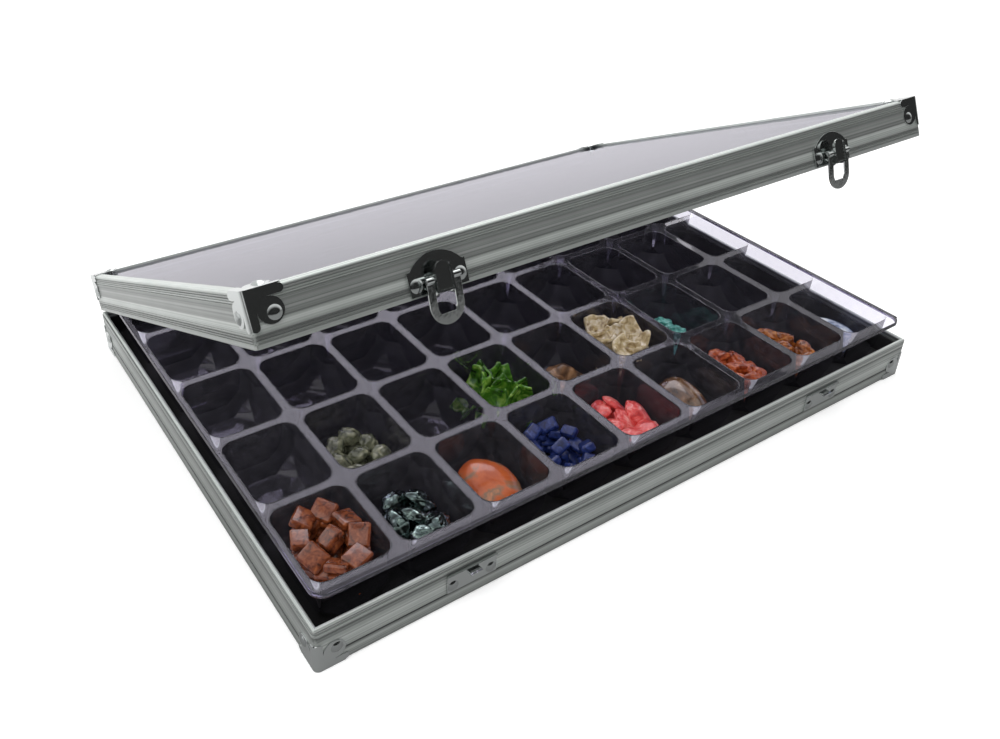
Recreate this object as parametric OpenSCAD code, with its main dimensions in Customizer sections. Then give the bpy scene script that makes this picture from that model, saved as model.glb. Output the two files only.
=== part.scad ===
// Mineral specimen box: a mitred aluminium frame case with a hinged clear lid,
// eight riveted corner caps, two draw latches and a lift-out tray of cups that hold stones.
// Origin: middle of the footprint, on the surface that the box stands on.
// X runs along the front, Y from the front to the back, Z up. Millimetres.

/* [Case] */
// Outside width of the case, along the front
case_w = 450; // [380:5:520]
// Outside depth of the case, front to back
case_d = 325; // [280:5:380]
// Height of the base, from the surface to the top of its rails
base_h = 28.5; // [26:0.5:36]
// Height of the lid frame
lid_h = 24.5; // [24:0.5:32]
// Angle at which the lid stands open
lid_open = 25; // [10:1:60]
// Radius of the outer upright corners
corner_r = 2.5; // [1.5:0.25:3]

/* [Rails] */
// Thickness of the rail walls
rail_t = 2.4; // [2:0.1:3]
// Thickness of the flanges and ledges on the rails
ledge_t = 1.4; // [1:0.1:2]
// Width of the lid rail's top lip, over the clear panel
top_lip_w = 5; // [4:0.5:7]
// Width of the lid rail's ledge, under the clear panel
panel_ledge_w = 4.6; // [4.4:0.2:7]
// Width of the base rail's flange, under the floor panel
floor_flange_w = 14; // [13:0.5:16]
// Width of the rounded bead along the base rail's top
bead_w = 2.5; // [1.75:0.25:2.5]
// Depth of the fine grooves in the rail faces
groove_depth = 0.45; // [0.2:0.05:0.7]
// Width of the fine grooves in the rail faces
groove_w = 0.6; // [0.3:0.05:0.8]
// Spacing of the fine grooves
groove_pitch = 1.2; // [1:0.05:1.4]
// Height of the recessed band along the lower half of the lid rail
band_h = 4.4; // [3:0.2:4.8]
// Height of that band's lower edge
band_z = 6.2; // [6:0.1:7]
// Depth of that band
band_depth = 0.3; // [0.1:0.05:0.5]
// Height of the dark groove above the bottom of the base rail
low_groove_z = 8.2; // [6:0.2:9]

/* [Panels and linings] */
// Thickness of the clear lid panel
panel_t = 2.5; // [2:0.1:3]
// Thickness of the floor panel
floor_t = 3; // [2:0.5:4]
// Thickness of the foam pad on the floor
pad_t = 6; // [4:0.5:8]
// Thickness of the black lining on the walls
lining_t = 1; // [0.5:0.1:1.2]

/* [Corner caps] */
// Thickness of the stamped corner caps
cap_t = 0.6; // [0.5:0.05:0.9]
// Length of a cap's arms along the edges
cap_arm = 17.5; // [16:0.5:20]
// Width of a cap's arms
cap_arm_w = 4; // [3:0.25:4.5]
// Radius of a cap's round lobe
cap_lobe_r = 5.9; // [5.4:0.1:6.4]
// Distance of the lobe's centre from both edges
cap_lobe_at = 10; // [9.5:0.1:10.5]
// Distance of a cap's rivets from both edges
cap_rivet_at = 11.3; // [10.8:0.1:11.6]

/* [Rivets] */
// Radius of the domed rivet heads
head_r = 3.3; // [2.8:0.1:3.6]
// Height of the domed rivet heads
head_h = 1.25; // [0.8:0.05:1.4]
// Radius of the rivet shanks
shank_r = 1.4; // [1:0.1:1.8]

/* [Hinges] */
// Distance of the hinges and latches from the ends of the case
fitting_inset = 88; // [70:1:110]
// Length of a hinge along its pin
hinge_w = 42; // [30:2:60]
// Height of a hinge leaf
leaf_h = 14; // [12:0.5:16]
// Thickness of a hinge leaf
leaf_t = 1; // [0.8:0.1:1.2]
// How far the pin's axis stands behind the case
hinge_out = 2; // [1.9:0.1:2.4]
// Radius of the hinge pin
pin_r = 0.9; // [0.7:0.05:0.95]
// Number of knuckles in a hinge
knuckles = 5; // [3:2:9]

/* [Latches] */
// Width of a latch plate
plate_w = 30.5; // [28:0.5:34]
// Height of a latch plate's straight sides
plate_side_h = 11.5; // [10:0.5:12]
// Height of a latch plate to the top of its arch
plate_h = 18.2; // [17:0.2:19.5]
// Thickness of the latch plates and keepers
plate_t = 1; // [0.8:0.1:1.2]
// Distance of a plate's two rivets from its middle
plate_rivet_x = 11.6; // [11.4:0.1:11.8]
// Width of a lever
lever_w = 9; // [8.4:0.2:9.2]
// Height of a lever
lever_h = 13.9; // [12:0.2:15]
// Distance of a lever's outer face from the lid
lever_out = 7.2; // [7:0.1:7.6]
// Height of the lever's pin above the lid's lower edge
lever_pin_h = 1.6; // [1.5:0.05:1.8]
// Distance of the lever's pin from the lid's face
lever_pin_out = 3.6; // [3.5:0.05:3.8]
// Distance of the loop's pin above the lever's pin
loop_pin_up = 5.2; // [5:0.1:5.6]
// Distance of the loop's pin from the lid's face
loop_pin_out = 5.2; // [5.1:0.05:5.3]
// Radius of both latch pins
latch_pin_r = 0.75; // [0.6:0.05:0.8]
// Outside width of a loop
loop_w = 17.8; // [17:0.2:18.4]
// Length of a loop below its pin
loop_l = 21.8; // [21:0.2:23]
// Width of a loop's window
window_w = 10; // [9.8:0.1:10.4]
// Width of the closed band at a loop's lower end
loop_band = 5.5; // [5:0.1:6]
// Thickness of a loop
loop_t = 1; // [0.8:0.1:1.1]
// Angle at which a loop hangs in towards the case
loop_lean = 7; // [5:0.5:8]

/* [Keepers] */
// Width of a keeper plate
keeper_w = 30; // [28:0.5:34]
// Distance of a keeper's top edge below the top of the base
keeper_drop = 6.5; // [6:0.1:7.5]
// Height of a keeper plate
keeper_h = 12.4; // [11:0.2:12.8]
// Width of the folded lip along a keeper's top
keeper_lip = 2.2; // [1.6:0.1:3]
// Width of a keeper's hook tab
hook_w = 7; // [5:0.25:7.2]
// Distance that the hook tab reaches from the case
hook_out = 5.5; // [4.5:0.1:5.5]

/* [Tray] */
// Number of cups along the front
columns = 9; // [7:1:10]
// Number of cups from front to back
rows = 5; // [4:1:6]
// Thickness of the clear sheet
sheet_t = 0.7; // [0.5:0.1:1]
// Height of the tray
tray_h = 32.3; // [26:0.1:33]
// Width of the flat web between two cups
web_w = 4.5; // [3.5:0.1:6]
// Width of the flange in front of and behind the cups
flange_y = 3.6; // [3:0.1:6]
// Width of the flange at the two ends
flange_x = 0.4; // [0.2:0.1:3]
// Depth of the turned-down lip round the flange
tray_lip = 3; // [2:0.5:6]
// Radius of a cup's corners at its mouth
mouth_r = 7; // [5:0.5:9]
// How much narrower a cup's floor is than its mouth, on each side
cup_taper = 4.4; // [3:0.2:6]
// Size of the slanted corners at a cup's floor
floor_corner = 9; // [6:0.5:11]

/* [Stones] */
// Height of the tallest stones
stone_h = 15; // [10:0.5:18]
// Length of the largest oval pebble, as a share of the cup's floor
pebble_share = 0.9; // [0.6:0.02:0.92]
// Width of the square chips
chip_w = 7.4; // [5:0.1:7.6]
// Thickness of the chips
chip_t = 5; // [3:0.5:6]

/* [Clearances] */
// Gap between parts that are set against each other
seat_gap = 0.1; // [0.05:0.05:0.2]
// Radial clearance of pins and shanks in their holes
fit_gap = 0.05; // [0.02:0.01:0.09]
// Gap between parts that turn past each other
turn_gap = 0.4; // [0.3:0.05:0.5]
// Gap between the tray and the rails round it
tray_gap = 2.2; // [1.6:0.1:3]
// Gap between the closed lid and the base
close_gap = 0.3; // [0.2:0.05:0.5]

/* [Hidden] */
$fn = 48;
eps = 0.01;
bead_over = 0.6;
edge_w = 1.2;
hole_r = shank_r + fit_gap;

// Signs of the four corners and the two fittings
LEFT = -1;
RIGHT = 1;
FRONT = -1;
BACK = 1;
CORNERS = [[LEFT, FRONT], [RIGHT, FRONT], [LEFT, BACK], [RIGHT, BACK]];
SIDES = [LEFT, RIGHT];

// Places that follow from the sizes
fitting_x = case_w/2 - fitting_inset;
rail_z0 = cap_t;
top_groove_z = base_h - 3.6;
mid_groove_z = base_h - 6.4;
floor_z = rail_z0 + ledge_t;
pad_z = floor_z + floor_t;
tray_z = pad_z + pad_t + 2*seat_gap;
tray_top = tray_z + tray_h;
slot_h = panel_t + 2*seat_gap;
slot_z = lid_h - ledge_t - slot_h;
inner_x = case_w - 2*rail_t - 2*seat_gap;
inner_y = case_d - 2*rail_t - 2*seat_gap;
tray_w = case_w - 2*rail_t - 2*tray_gap;
tray_d = case_d - 2*rail_t - 2*tray_gap;
pitch_x = (tray_w - 2*flange_x)/columns;
pitch_y = (tray_d - 2*flange_y)/rows;
mouth_x = pitch_x - web_w;
mouth_y = pitch_y - web_w;
cup_floor_z = tray_z + sheet_t;
stone_z = cup_floor_z + seat_gap;
bed_x = mouth_x - 2*cup_taper;
bed_y = mouth_y - 2*cup_taper;
hinge_y = case_d/2 + hinge_out;
barrel_r = hinge_out - turn_gap;
base_top = base_h - close_gap;
knuckle_w = hinge_w/knuckles;
loop_pin_h = lever_pin_h + loop_pin_up;
keeper_top = base_h - keeper_drop;
lever_web_out = loop_pin_out + 0.2;
hook_t = plate_t;
hook_under = base_h + loop_pin_h - (loop_l - loop_band)*cos(loop_lean) + turn_gap;

// Lid parts are drawn closed, then turned about the hinge pins
module on_open_lid() {
    translate([0, hinge_y, base_h])
        rotate([-lid_open, 0, 0])
            translate([0, -hinge_y, -base_h])
                children();
}

// Puts a shape that is drawn on a front face, with Y as its height, at height z
module on_front_face(x, z) {
    translate([x, -case_d/2, z])
        rotate([90, 0, 0])
            children();
}

module rounded_rect(w, d, r) {
    square([w - 2*r, d], center = true);
    square([w, d - 2*r], center = true);
    for (c = CORNERS)
        translate([c[0]*(w/2 - r), c[1]*(d/2 - r)])
            circle(r);
}

// Rail outlines: X runs inward from the outer face, Y up
module groove(z, depth) {
    polygon([[-eps, z - groove_w/2], [depth, z - groove_w/6], [depth, z + groove_w/6],
        [-eps, z + groove_w/2]]);
}

module base_profile() {
    wall_top = base_top - bead_w*0.65;
    bead_x = rail_t + bead_over - bead_w/2;
    difference() {
        union() {
            translate([0, rail_z0])
                square([rail_t, wall_top - rail_z0]);
            translate([0, rail_z0])
                square([floor_flange_w, ledge_t]);
            translate([bead_x, base_top - bead_w/2])
                circle(bead_w/2);
            translate([bead_x - bead_w/2, base_top - bead_w])
                square([bead_w, bead_w/2]);
        }
        for (z = [top_groove_z, mid_groove_z])
            groove(z, groove_depth);
        translate([-eps, low_groove_z])
            square([2*groove_depth, 1.3*groove_w]);
    }
}

module lid_profile() {
    difference() {
        union() {
            square([rail_t, lid_h]);
            translate([0, lid_h - ledge_t])
                square([top_lip_w, ledge_t]);
            translate([0, slot_z - ledge_t])
                square([panel_ledge_w, ledge_t]);
            square([rail_t + bead_over, ledge_t]);
        }
        translate([-eps, band_z])
            square([band_depth + eps, band_h]);
        for (i = [0:3])
            groove(lid_h - ledge_t - groove_w - i*groove_pitch, groove_depth);
        for (i = [0:2])
            groove(band_z - 2*groove_w - i*groove_pitch, groove_depth);
        translate([0, lid_h])
            rotate(45)
                square(edge_w, center = true);
    }
}

// A rail of the given outline along the front, mitred at both ends
module rail(len, off, h) {
    mitre = floor_flange_w + 1;
    intersection() {
        translate([-len/2 - 1, -off, 0])
            rotate([90, 0, 90])
                linear_extrude(len + 2)
                    children();
        linear_extrude(h + 1)
            polygon([[-len/2, -off], [len/2, -off], [len/2 - mitre, -off + mitre],
                [mitre - len/2, -off + mitre]]);
    }
}

// Turns a front rail to one of the four sides
module at_side(side) {
    turn = side == "front" ? 0 : side == "right" ? 90 : side == "back" ? 180 : 270;
    rotate([0, 0, turn])
        children();
}

function side_len(side) = side == "front" || side == "back" ? case_w : case_d;
function side_off(side) = side == "front" || side == "back" ? case_d/2 : case_w/2;

module base_rail(side) {
    color([0.72, 0.75, 0.72])
        difference() {
            intersection() {
                at_side(side)
                    rail(side_len(side), side_off(side), base_top)
                        base_profile();
                linear_extrude(base_h + 1)
                    rounded_rect(case_w, case_d, corner_r);
            }
            base_shanks(hole_r, 1);
            if (side == "front")
                for (s = SIDES)
                    keeper_shanks(s, hole_r, 1);
            if (side == "back")
                for (s = SIDES)
                    base_leaf_frame(s)
                        leaf_shanks(hole_r, 1);
        }
}

module lid_rail(side) {
    color([0.72, 0.76, 0.73])
        on_open_lid()
            translate([0, 0, base_h])
                difference() {
                    intersection() {
                        at_side(side)
                            rail(side_len(side), side_off(side), lid_h)
                                lid_profile();
                        linear_extrude(lid_h + 1)
                            rounded_rect(case_w, case_d, corner_r);
                    }
                    lid_shanks(hole_r, 1);
                    if (side == "front")
                        for (s = SIDES)
                            latch_shanks(s, hole_r, 1);
                    if (side == "back")
                        for (s = SIDES)
                            lid_leaf_frame(s)
                                leaf_shanks(hole_r, 1);
                }
}

// Panels and linings
module floor_panel() {
    color([0.2, 0.19, 0.18])
        difference() {
            translate([-inner_x/2, -inner_y/2, floor_z])
                cube([inner_x, inner_y, floor_t]);
            base_shanks(hole_r, 1);
        }
}

module floor_pad() {
    pad_x = inner_x - 2*lining_t - 2*seat_gap;
    pad_y = inner_y - 2*lining_t - 2*seat_gap;
    color([0.06, 0.06, 0.07])
        translate([-pad_x/2, -pad_y/2, pad_z])
            cube([pad_x, pad_y, pad_t]);
}

module wall_lining() {
    lining_h = base_top - 2*bead_w - pad_z;
    color([0.05, 0.05, 0.06])
        translate([0, 0, pad_z])
            difference() {
                translate([-inner_x/2, -inner_y/2, 0])
                    cube([inner_x, inner_y, lining_h]);
                translate([lining_t - inner_x/2, lining_t - inner_y/2, -1])
                    cube([inner_x - 2*lining_t, inner_y - 2*lining_t, lining_h + 2]);
            }
}

module lid_panel() {
    color([0.85, 0.85, 0.92, 0.35])
        on_open_lid()
            translate([0, 0, base_h])
                difference() {
                    translate([-inner_x/2, -inner_y/2, slot_z + seat_gap])
                        cube([inner_x, inner_y, panel_t]);
                    lid_shanks(hole_r, 1);
                }
}

// Corner caps: one stamped shape in three faces, drawn for a case that fills +X, +Y and +Z
module cap_outline() {
    translate([-cap_t, -cap_t])
        square(cap_lobe_at + cap_t);
    for (m = [0, 1])
        mirror([m, -m, 0]) {
            translate([-cap_t, -cap_t])
                square([cap_arm - cap_arm_w/2 + cap_t, cap_arm_w + cap_t]);
            translate([cap_arm - cap_arm_w/2, cap_arm_w/2])
                circle(cap_arm_w/2);
        }
    translate([cap_lobe_at, cap_lobe_at])
        circle(cap_lobe_r);
}

module cap_block(r, grow, h) {
    translate([case_w/2, case_d/2, -grow])
        linear_extrude(h)
            rounded_rect(case_w + 2*grow, case_d + 2*grow, r + grow);
}

module corner_cap() {
    wrap = corner_r + 1;
    difference() {
        intersection() {
            cap_block(corner_r, cap_t, 2*cap_arm);
            union() {
                translate([0, 0, -cap_t])
                    linear_extrude(cap_t)
                        cap_outline();
                translate([0, wrap, 0])
                    rotate([90, 0, 0])
                        linear_extrude(wrap + cap_t)
                            cap_outline();
                translate([-cap_t, 0, 0])
                    rotate([90, 0, 90])
                        linear_extrude(wrap + cap_t)
                            cap_outline();
            }
        }
        cap_block(corner_r, 0, 3*cap_arm);
    }
}

module base_cap(c) {
    color([0.62, 0.65, 0.66])
        difference() {
            mirror([c[0] < 0 ? 0 : 1, 0, 0])
                mirror([0, c[1] < 0 ? 0 : 1, 0])
                    translate([-case_w/2, -case_d/2, rail_z0])
                        corner_cap();
            base_shanks(hole_r, 1);
        }
}

module lid_cap(c) {
    color([0.62, 0.65, 0.66])
        on_open_lid()
            translate([0, 0, base_h])
                difference() {
                    mirror([c[0] < 0 ? 0 : 1, 0, 0])
                        mirror([0, c[1] < 0 ? 0 : 1, 0])
                            translate([-case_w/2, -case_d/2, lid_h])
                                mirror([0, 0, 1])
                                    corner_cap();
                    lid_shanks(hole_r, 1);
                }
}

// Rivets. A dome stands on the plane z = 0
module dome() {
    ball_r = (head_r*head_r + head_h*head_h)/(2*head_h);
    intersection() {
        translate([0, 0, head_h - ball_r])
            sphere(ball_r);
        cylinder(h = head_h + 1, r = head_r + 1);
    }
}

// Shanks through the two upright faces at each corner, at height z, drawn from out beyond the cap
module wall_shanks(r, z, out) {
    for (c = CORNERS) {
        translate([c[0]*(case_w/2 - cap_rivet_at), c[1]*(case_d/2 + cap_t + out), z])
            rotate([90*c[1], 0, 0])
                cylinder(h = cap_t + rail_t + out, r = r);
        translate([c[0]*(case_w/2 + cap_t + out), c[1]*(case_d/2 - cap_rivet_at), z])
            rotate([0, -90*c[0], 0])
                cylinder(h = cap_t + rail_t + out, r = r);
    }
}

module wall_domes(z) {
    for (c = CORNERS) {
        translate([c[0]*(case_w/2 - cap_rivet_at), c[1]*(case_d/2 + cap_t), z])
            rotate([-90*c[1], 0, 0])
                dome();
        translate([c[0]*(case_w/2 + cap_t), c[1]*(case_d/2 - cap_rivet_at), z])
            rotate([0, 90*c[0], 0])
                dome();
    }
}

module flat_shanks(r, z0, z1) {
    for (c = CORNERS)
        translate([c[0]*(case_w/2 - cap_rivet_at), c[1]*(case_d/2 - cap_rivet_at), z0])
            cylinder(h = z1 - z0, r = r);
}

module base_shanks(r, out) {
    wall_shanks(r, rail_z0 + cap_rivet_at, out);
    flat_shanks(r, -out, pad_z);
}

module lid_shanks(r, out) {
    wall_shanks(r, lid_h - cap_rivet_at, out);
    flat_shanks(r, slot_z + seat_gap, lid_h + cap_t + out);
}

// The rivets under the base are set flush, so that the caps stand flat
module base_cap_rivets() {
    color([0.75, 0.77, 0.78]) {
        base_shanks(shank_r, 0);
        wall_domes(rail_z0 + cap_rivet_at);
    }
}

module lid_cap_rivets() {
    color([0.75, 0.77, 0.78])
        on_open_lid()
            translate([0, 0, base_h]) {
                lid_shanks(shank_r, 0);
                wall_domes(lid_h - cap_rivet_at);
                for (c = CORNERS)
                    translate([c[0]*(case_w/2 - cap_rivet_at), c[1]*(case_d/2 - cap_rivet_at),
                        lid_h + cap_t])
                        dome();
            }
}

// Hinges: drawn with the pin along X at the origin, the case at negative Y, the leaf above
leaf_rivet_x = hinge_w/3;
leaf_rivet_z = leaf_h*0.62;
leaf_head_r = shank_r + 1;
leaf_base = barrel_r + turn_gap;

module leaf_shanks(r, out) {
    for (s = SIDES)
        translate([s*leaf_rivet_x, leaf_t - hinge_out + out, leaf_rivet_z])
            rotate([90, 0, 0])
                cylinder(h = leaf_t + rail_t + out, r = r);
}

module leaf_heads(r) {
    for (s = SIDES)
        translate([s*leaf_rivet_x, leaf_t - hinge_out, leaf_rivet_z])
            rotate([90, 0, 0])
                cylinder(h = leaf_t/2, r = r);
}

module leaf(first) {
    color([0.6, 0.62, 0.63])
        difference() {
            union() {
                translate([-hinge_w/2, -hinge_out, leaf_base])
                    cube([hinge_w, leaf_t, leaf_h - leaf_base]);
                for (i = [first:2:knuckles - 1])
                    translate([i*knuckle_w - hinge_w/2 + seat_gap, 0, 0]) {
                        rotate([0, 90, 0])
                            cylinder(h = knuckle_w - 2*seat_gap, r = barrel_r);
                        translate([0, -hinge_out, 0])
                            cube([knuckle_w - 2*seat_gap, leaf_t, 2*leaf_base]);
                    }
            }
            translate([-hinge_w/2 - 1, 0, 0])
                rotate([0, 90, 0])
                    cylinder(h = hinge_w + 2, r = pin_r + fit_gap);
            leaf_shanks(hole_r, 1);
            leaf_heads(leaf_head_r + fit_gap);
        }
}

module base_leaf_frame(s) {
    translate([s*fitting_x, hinge_y, base_h])
        mirror([0, 0, 1])
            children();
}

// In the closed lid's own frame, whose height is measured from its lower edge
module lid_leaf_frame(s) {
    translate([s*fitting_x, hinge_y, 0])
        children();
}

module hinge_base_leaf(s) {
    base_leaf_frame(s)
        leaf(0);
}

module hinge_lid_leaf(s) {
    on_open_lid()
        translate([0, 0, base_h])
            lid_leaf_frame(s)
                leaf(1);
}

module hinge_pin(s) {
    color([0.7, 0.72, 0.73])
        translate([s*fitting_x - hinge_w/2, hinge_y, base_h])
            rotate([0, 90, 0])
                cylinder(h = hinge_w, r = pin_r);
}

module leaf_rivets() {
    color([0.75, 0.77, 0.78]) {
        leaf_shanks(shank_r, 0);
        leaf_heads(leaf_head_r);
    }
}

module hinge_base_rivets() {
    for (s = SIDES)
        base_leaf_frame(s)
            leaf_rivets();
}

module hinge_lid_rivets() {
    on_open_lid()
        translate([0, 0, base_h])
            for (s = SIDES)
                lid_leaf_frame(s)
                    leaf_rivets();
}

// Latches: drawn on the lid's front face with X along it, Y up from its edge and Z outward
plate_z = 0.8;
shoulder_w = 1.6;
plate_rivet_h = 5.6;
lug_t = 1;
lug_x = 2.6;
lug_r = 1.35;
side_t = 0.9;
rim_w = 0.9;
rim_h = 0.7;
lever_tail = 1;
lever_z = lever_pin_h - lever_tail;
eye_r = latch_pin_r + 0.75;
window_end = hook_w + 0.8;
window_slant = 2.6;
keeper_rivet_z = keeper_top - 0.67*keeper_h;

module on_lid_front(s) {
    on_open_lid()
        translate([0, 0, base_h])
            on_front_face(s*fitting_x, 0)
                children();
}

// Extrudes an outline drawn with X up and Y outward, along the lid's front
module across(len) {
    translate([-len/2, 0, 0])
        rotate([90, 0, 90])
            linear_extrude(len)
                children();
}

module face_rivets(h, thick, out, r) {
    for (s = SIDES)
        translate([s*plate_rivet_x, h, thick + out])
            rotate([180, 0, 0])
                cylinder(h = thick + rail_t + out, r = r);
}

module latch_shanks(s, r, out) {
    on_front_face(s*fitting_x, 0)
        face_rivets(plate_rivet_h, plate_t, out, r);
}

module keeper_shanks(s, r, out) {
    on_front_face(s*fitting_x, 0)
        face_rivets(keeper_rivet_z, plate_t, out, r);
}

module plate_outline() {
    chord = plate_w/2 - shoulder_w;
    rise = plate_h - plate_side_h;
    arch_r = (chord*chord + rise*rise)/(2*rise);
    translate([-plate_w/2, plate_z])
        square([plate_w, plate_side_h]);
    intersection() {
        translate([0, plate_z + plate_h - arch_r])
            circle(arch_r);
        translate([-plate_w/2, plate_z + 1])
            square([plate_w, plate_h]);
    }
}

module latch_plate(s) {
    neck = lug_r + 0.3;
    color([0.6, 0.62, 0.63])
        on_lid_front(s)
            difference() {
                union() {
                    linear_extrude(plate_t)
                        plate_outline();
                    for (k = SIDES)
                        translate([k*lug_x, 0, 0])
                            across(lug_t) {
                                translate([lever_pin_h, lever_pin_out])
                                    circle(lug_r);
                                translate([lever_pin_h + lug_r - neck, 0])
                                    square([neck, lever_pin_out]);
                            }
                }
                translate([0, lever_pin_h, lever_pin_out])
                    across(lever_w)
                        circle(latch_pin_r + fit_gap);
                face_rivets(plate_rivet_h, plate_t, 1, hole_r);
            }
}

module plate_domes(h) {
    for (s = SIDES)
        translate([s*plate_rivet_x, h, plate_t])
            dome();
}

module latch_rivets() {
    color([0.75, 0.77, 0.78])
        for (s = SIDES)
            on_lid_front(s) {
                face_rivets(plate_rivet_h, plate_t, 0, shank_r);
                plate_domes(plate_rivet_h);
            }
}

module lever_outline(w) {
    tip = lever_h - w/2;
    translate([-w/2, 0])
        square([w, tip]);
    translate([0, tip])
        circle(w/2);
}

module lever(s) {
    color([0.66, 0.68, 0.69])
        on_lid_front(s)
            difference() {
                union() {
                    translate([0, lever_z, lever_web_out])
                        linear_extrude(lever_out - lever_web_out)
                            lever_outline(lever_w);
                    for (k = SIDES)
                        translate([k*(lever_w - side_t)/2, 0, 0])
                            across(side_t) {
                                translate([lever_pin_h, lever_pin_out])
                                    circle(lever_pin_out - plate_t - turn_gap);
                                translate([lever_pin_h, lever_pin_out - latch_pin_r])
                                    square([loop_pin_up + eye_r,
                                        lever_web_out - lever_pin_out + latch_pin_r + eps]);
                            }
                }
                translate([0, lever_z + rim_w, lever_out - rim_h])
                    linear_extrude(rim_h + 1)
                        lever_outline(lever_w - 2*rim_w);
                translate([0, lever_pin_h, lever_pin_out])
                    across(lever_w + 2)
                        circle(latch_pin_r + fit_gap);
                translate([0, loop_pin_h, loop_pin_out])
                    across(lever_w + 2)
                        circle(latch_pin_r + fit_gap);
            }
}

module lever_pin(s) {
    color([0.7, 0.72, 0.73])
        on_lid_front(s)
            translate([0, lever_pin_h, lever_pin_out])
                across(lever_w)
                    circle(latch_pin_r);
}

module loop_pin(s) {
    color([0.7, 0.72, 0.73])
        on_lid_front(s)
            translate([0, loop_pin_h, loop_pin_out])
                across(loop_w + eye_r/2)
                    circle(latch_pin_r);
}

module loop_outline() {
    window_l = loop_l - loop_band;
    difference() {
        union() {
            translate([-loop_w/2, loop_w/2 - loop_l])
                square([loop_w, loop_l - loop_w/2]);
            translate([0, loop_w/2 - loop_l])
                circle(loop_w/2);
        }
        polygon([[-window_w/2, eye_r], [window_w/2, eye_r], [window_w/2, window_slant - window_l],
            [window_end/2, -window_l], [-window_end/2, -window_l], [-window_w/2, window_slant - window_l]]);
    }
}

module loop(s) {
    arm_w = (loop_w - window_w)/2;
    color([0.64, 0.66, 0.67])
        on_lid_front(s)
            translate([0, loop_pin_h, loop_pin_out])
                rotate([loop_lean, 0, 0])
                    difference() {
                        union() {
                            translate([0, 0, -loop_t/2])
                                linear_extrude(loop_t)
                                    loop_outline();
                            for (k = SIDES)
                                translate([k*(window_w + arm_w)/2, 0, 0])
                                    across(arm_w)
                                        circle(eye_r);
                        }
                        across(loop_w + 2)
                            circle(latch_pin_r + fit_gap);
                    }
}

module keeper(s) {
    color([0.66, 0.68, 0.69])
        on_front_face(s*fitting_x, 0)
            difference() {
                union() {
                    translate([-keeper_w/2, keeper_top - keeper_h, 0])
                        cube([keeper_w, keeper_h, plate_t]);
                    translate([-keeper_w/2, keeper_top - plate_t, 0])
                        cube([keeper_w, plate_t, keeper_lip]);
                    translate([-hook_w/2, hook_under, 0])
                        cube([hook_w, hook_t, hook_out]);
                }
                face_rivets(keeper_rivet_z, plate_t, 1, hole_r);
            }
}

module keeper_rivets() {
    color([0.75, 0.77, 0.78])
        for (s = SIDES)
            on_front_face(s*fitting_x, 0) {
                face_rivets(keeper_rivet_z, plate_t, 0, shank_r);
                plate_domes(keeper_rivet_z);
            }
}

// Tray: one vacuum-formed sheet. Column 0 is at the left, row 0 at the front
function cup_x(column) = (column - (columns - 1)/2)*pitch_x;
function cup_y(row) = (row - (rows - 1)/2)*pitch_y;

module octagon(w, d, corner) {
    polygon([[corner - w/2, -d/2], [w/2 - corner, -d/2], [w/2, corner - d/2],
        [w/2, d/2 - corner], [w/2 - corner, d/2], [corner - w/2, d/2],
        [-w/2, d/2 - corner], [-w/2, corner - d/2]]);
}

module cup_shape(grow, floor_z, top_z) {
    hull() {
        translate([0, 0, top_z - eps])
            linear_extrude(eps)
                rounded_rect(mouth_x + 2*grow, mouth_y + 2*grow, mouth_r + grow, $fn = 16);
        translate([0, 0, floor_z])
            linear_extrude(eps)
                octagon(bed_x + 2*grow, bed_y + 2*grow, floor_corner);
    }
}

module each_cup() {
    for (i = [0:columns - 1])
        for (j = [0:rows - 1])
            translate([cup_x(i), cup_y(j), 0])
                children();
}

module tray() {
    color([0.8, 0.8, 0.88, 0.4])
        difference() {
            union() {
                translate([0, 0, tray_top - sheet_t])
                    linear_extrude(sheet_t)
                        rounded_rect(tray_w, tray_d, mouth_r, $fn = 16);
                translate([0, 0, tray_top - tray_lip])
                    linear_extrude(tray_lip)
                        difference() {
                            rounded_rect(tray_w, tray_d, mouth_r, $fn = 16);
                            rounded_rect(tray_w - 2*sheet_t, tray_d - 2*sheet_t,
                                mouth_r - sheet_t, $fn = 16);
                        }
                each_cup()
                    cup_shape(sheet_t, tray_z, tray_top);
            }
            each_cup()
                cup_shape(0, tray_z + sheet_t, tray_top + 0.1);
        }
}

// Stones. A tumbled or broken stone is a ball of rings, bulged by a seeded amount and
// flattened above and below, so that it lies on the cup's floor or on the stone under it
flat_share = 0.42;
RINGS = 6;
SPOKES = 9;
flakes = 9;
flake_h = 2.1*stone_h;
flake_t = 2.2;

function stone_point(size, i, j, bumps, rough) =
    let (
        lat = 180*(i + 0.5)/RINGS - 90,
        lon = 360*j/SPOKES,
        k = 1 - rough*bumps[i*SPOKES + j],
        flat = flat_share*size[2],
        z = size[2]/2*sin(lat)*1.15
    )
    [k*size[0]/2*cos(lat)*cos(lon), k*size[1]/2*cos(lat)*sin(lon), max(-flat, min(flat, z))];

module stone(size, seed, rough) {
    bumps = rands(0, 1, RINGS*SPOKES, seed);
    points = [for (i = [0:RINGS - 1]) for (j = [0:SPOKES - 1])
        stone_point(size, i, j, bumps, rough)];
    faces = concat(
        [for (i = [0:RINGS - 2]) for (j = [0:SPOKES - 1])
            [i*SPOKES + j, (i + 1)*SPOKES + j, (i + 1)*SPOKES + (j + 1)%SPOKES]],
        [for (i = [0:RINGS - 2]) for (j = [0:SPOKES - 1])
            [i*SPOKES + j, (i + 1)*SPOKES + (j + 1)%SPOKES, i*SPOKES + (j + 1)%SPOKES]],
        [[for (j = [0:SPOKES - 1]) j]],
        [[for (j = [SPOKES - 1:-1:0]) (RINGS - 1)*SPOKES + j]]
    );
    translate([0, 0, flat_share*size[2]])
        polyhedron(points, faces);
}

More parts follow.
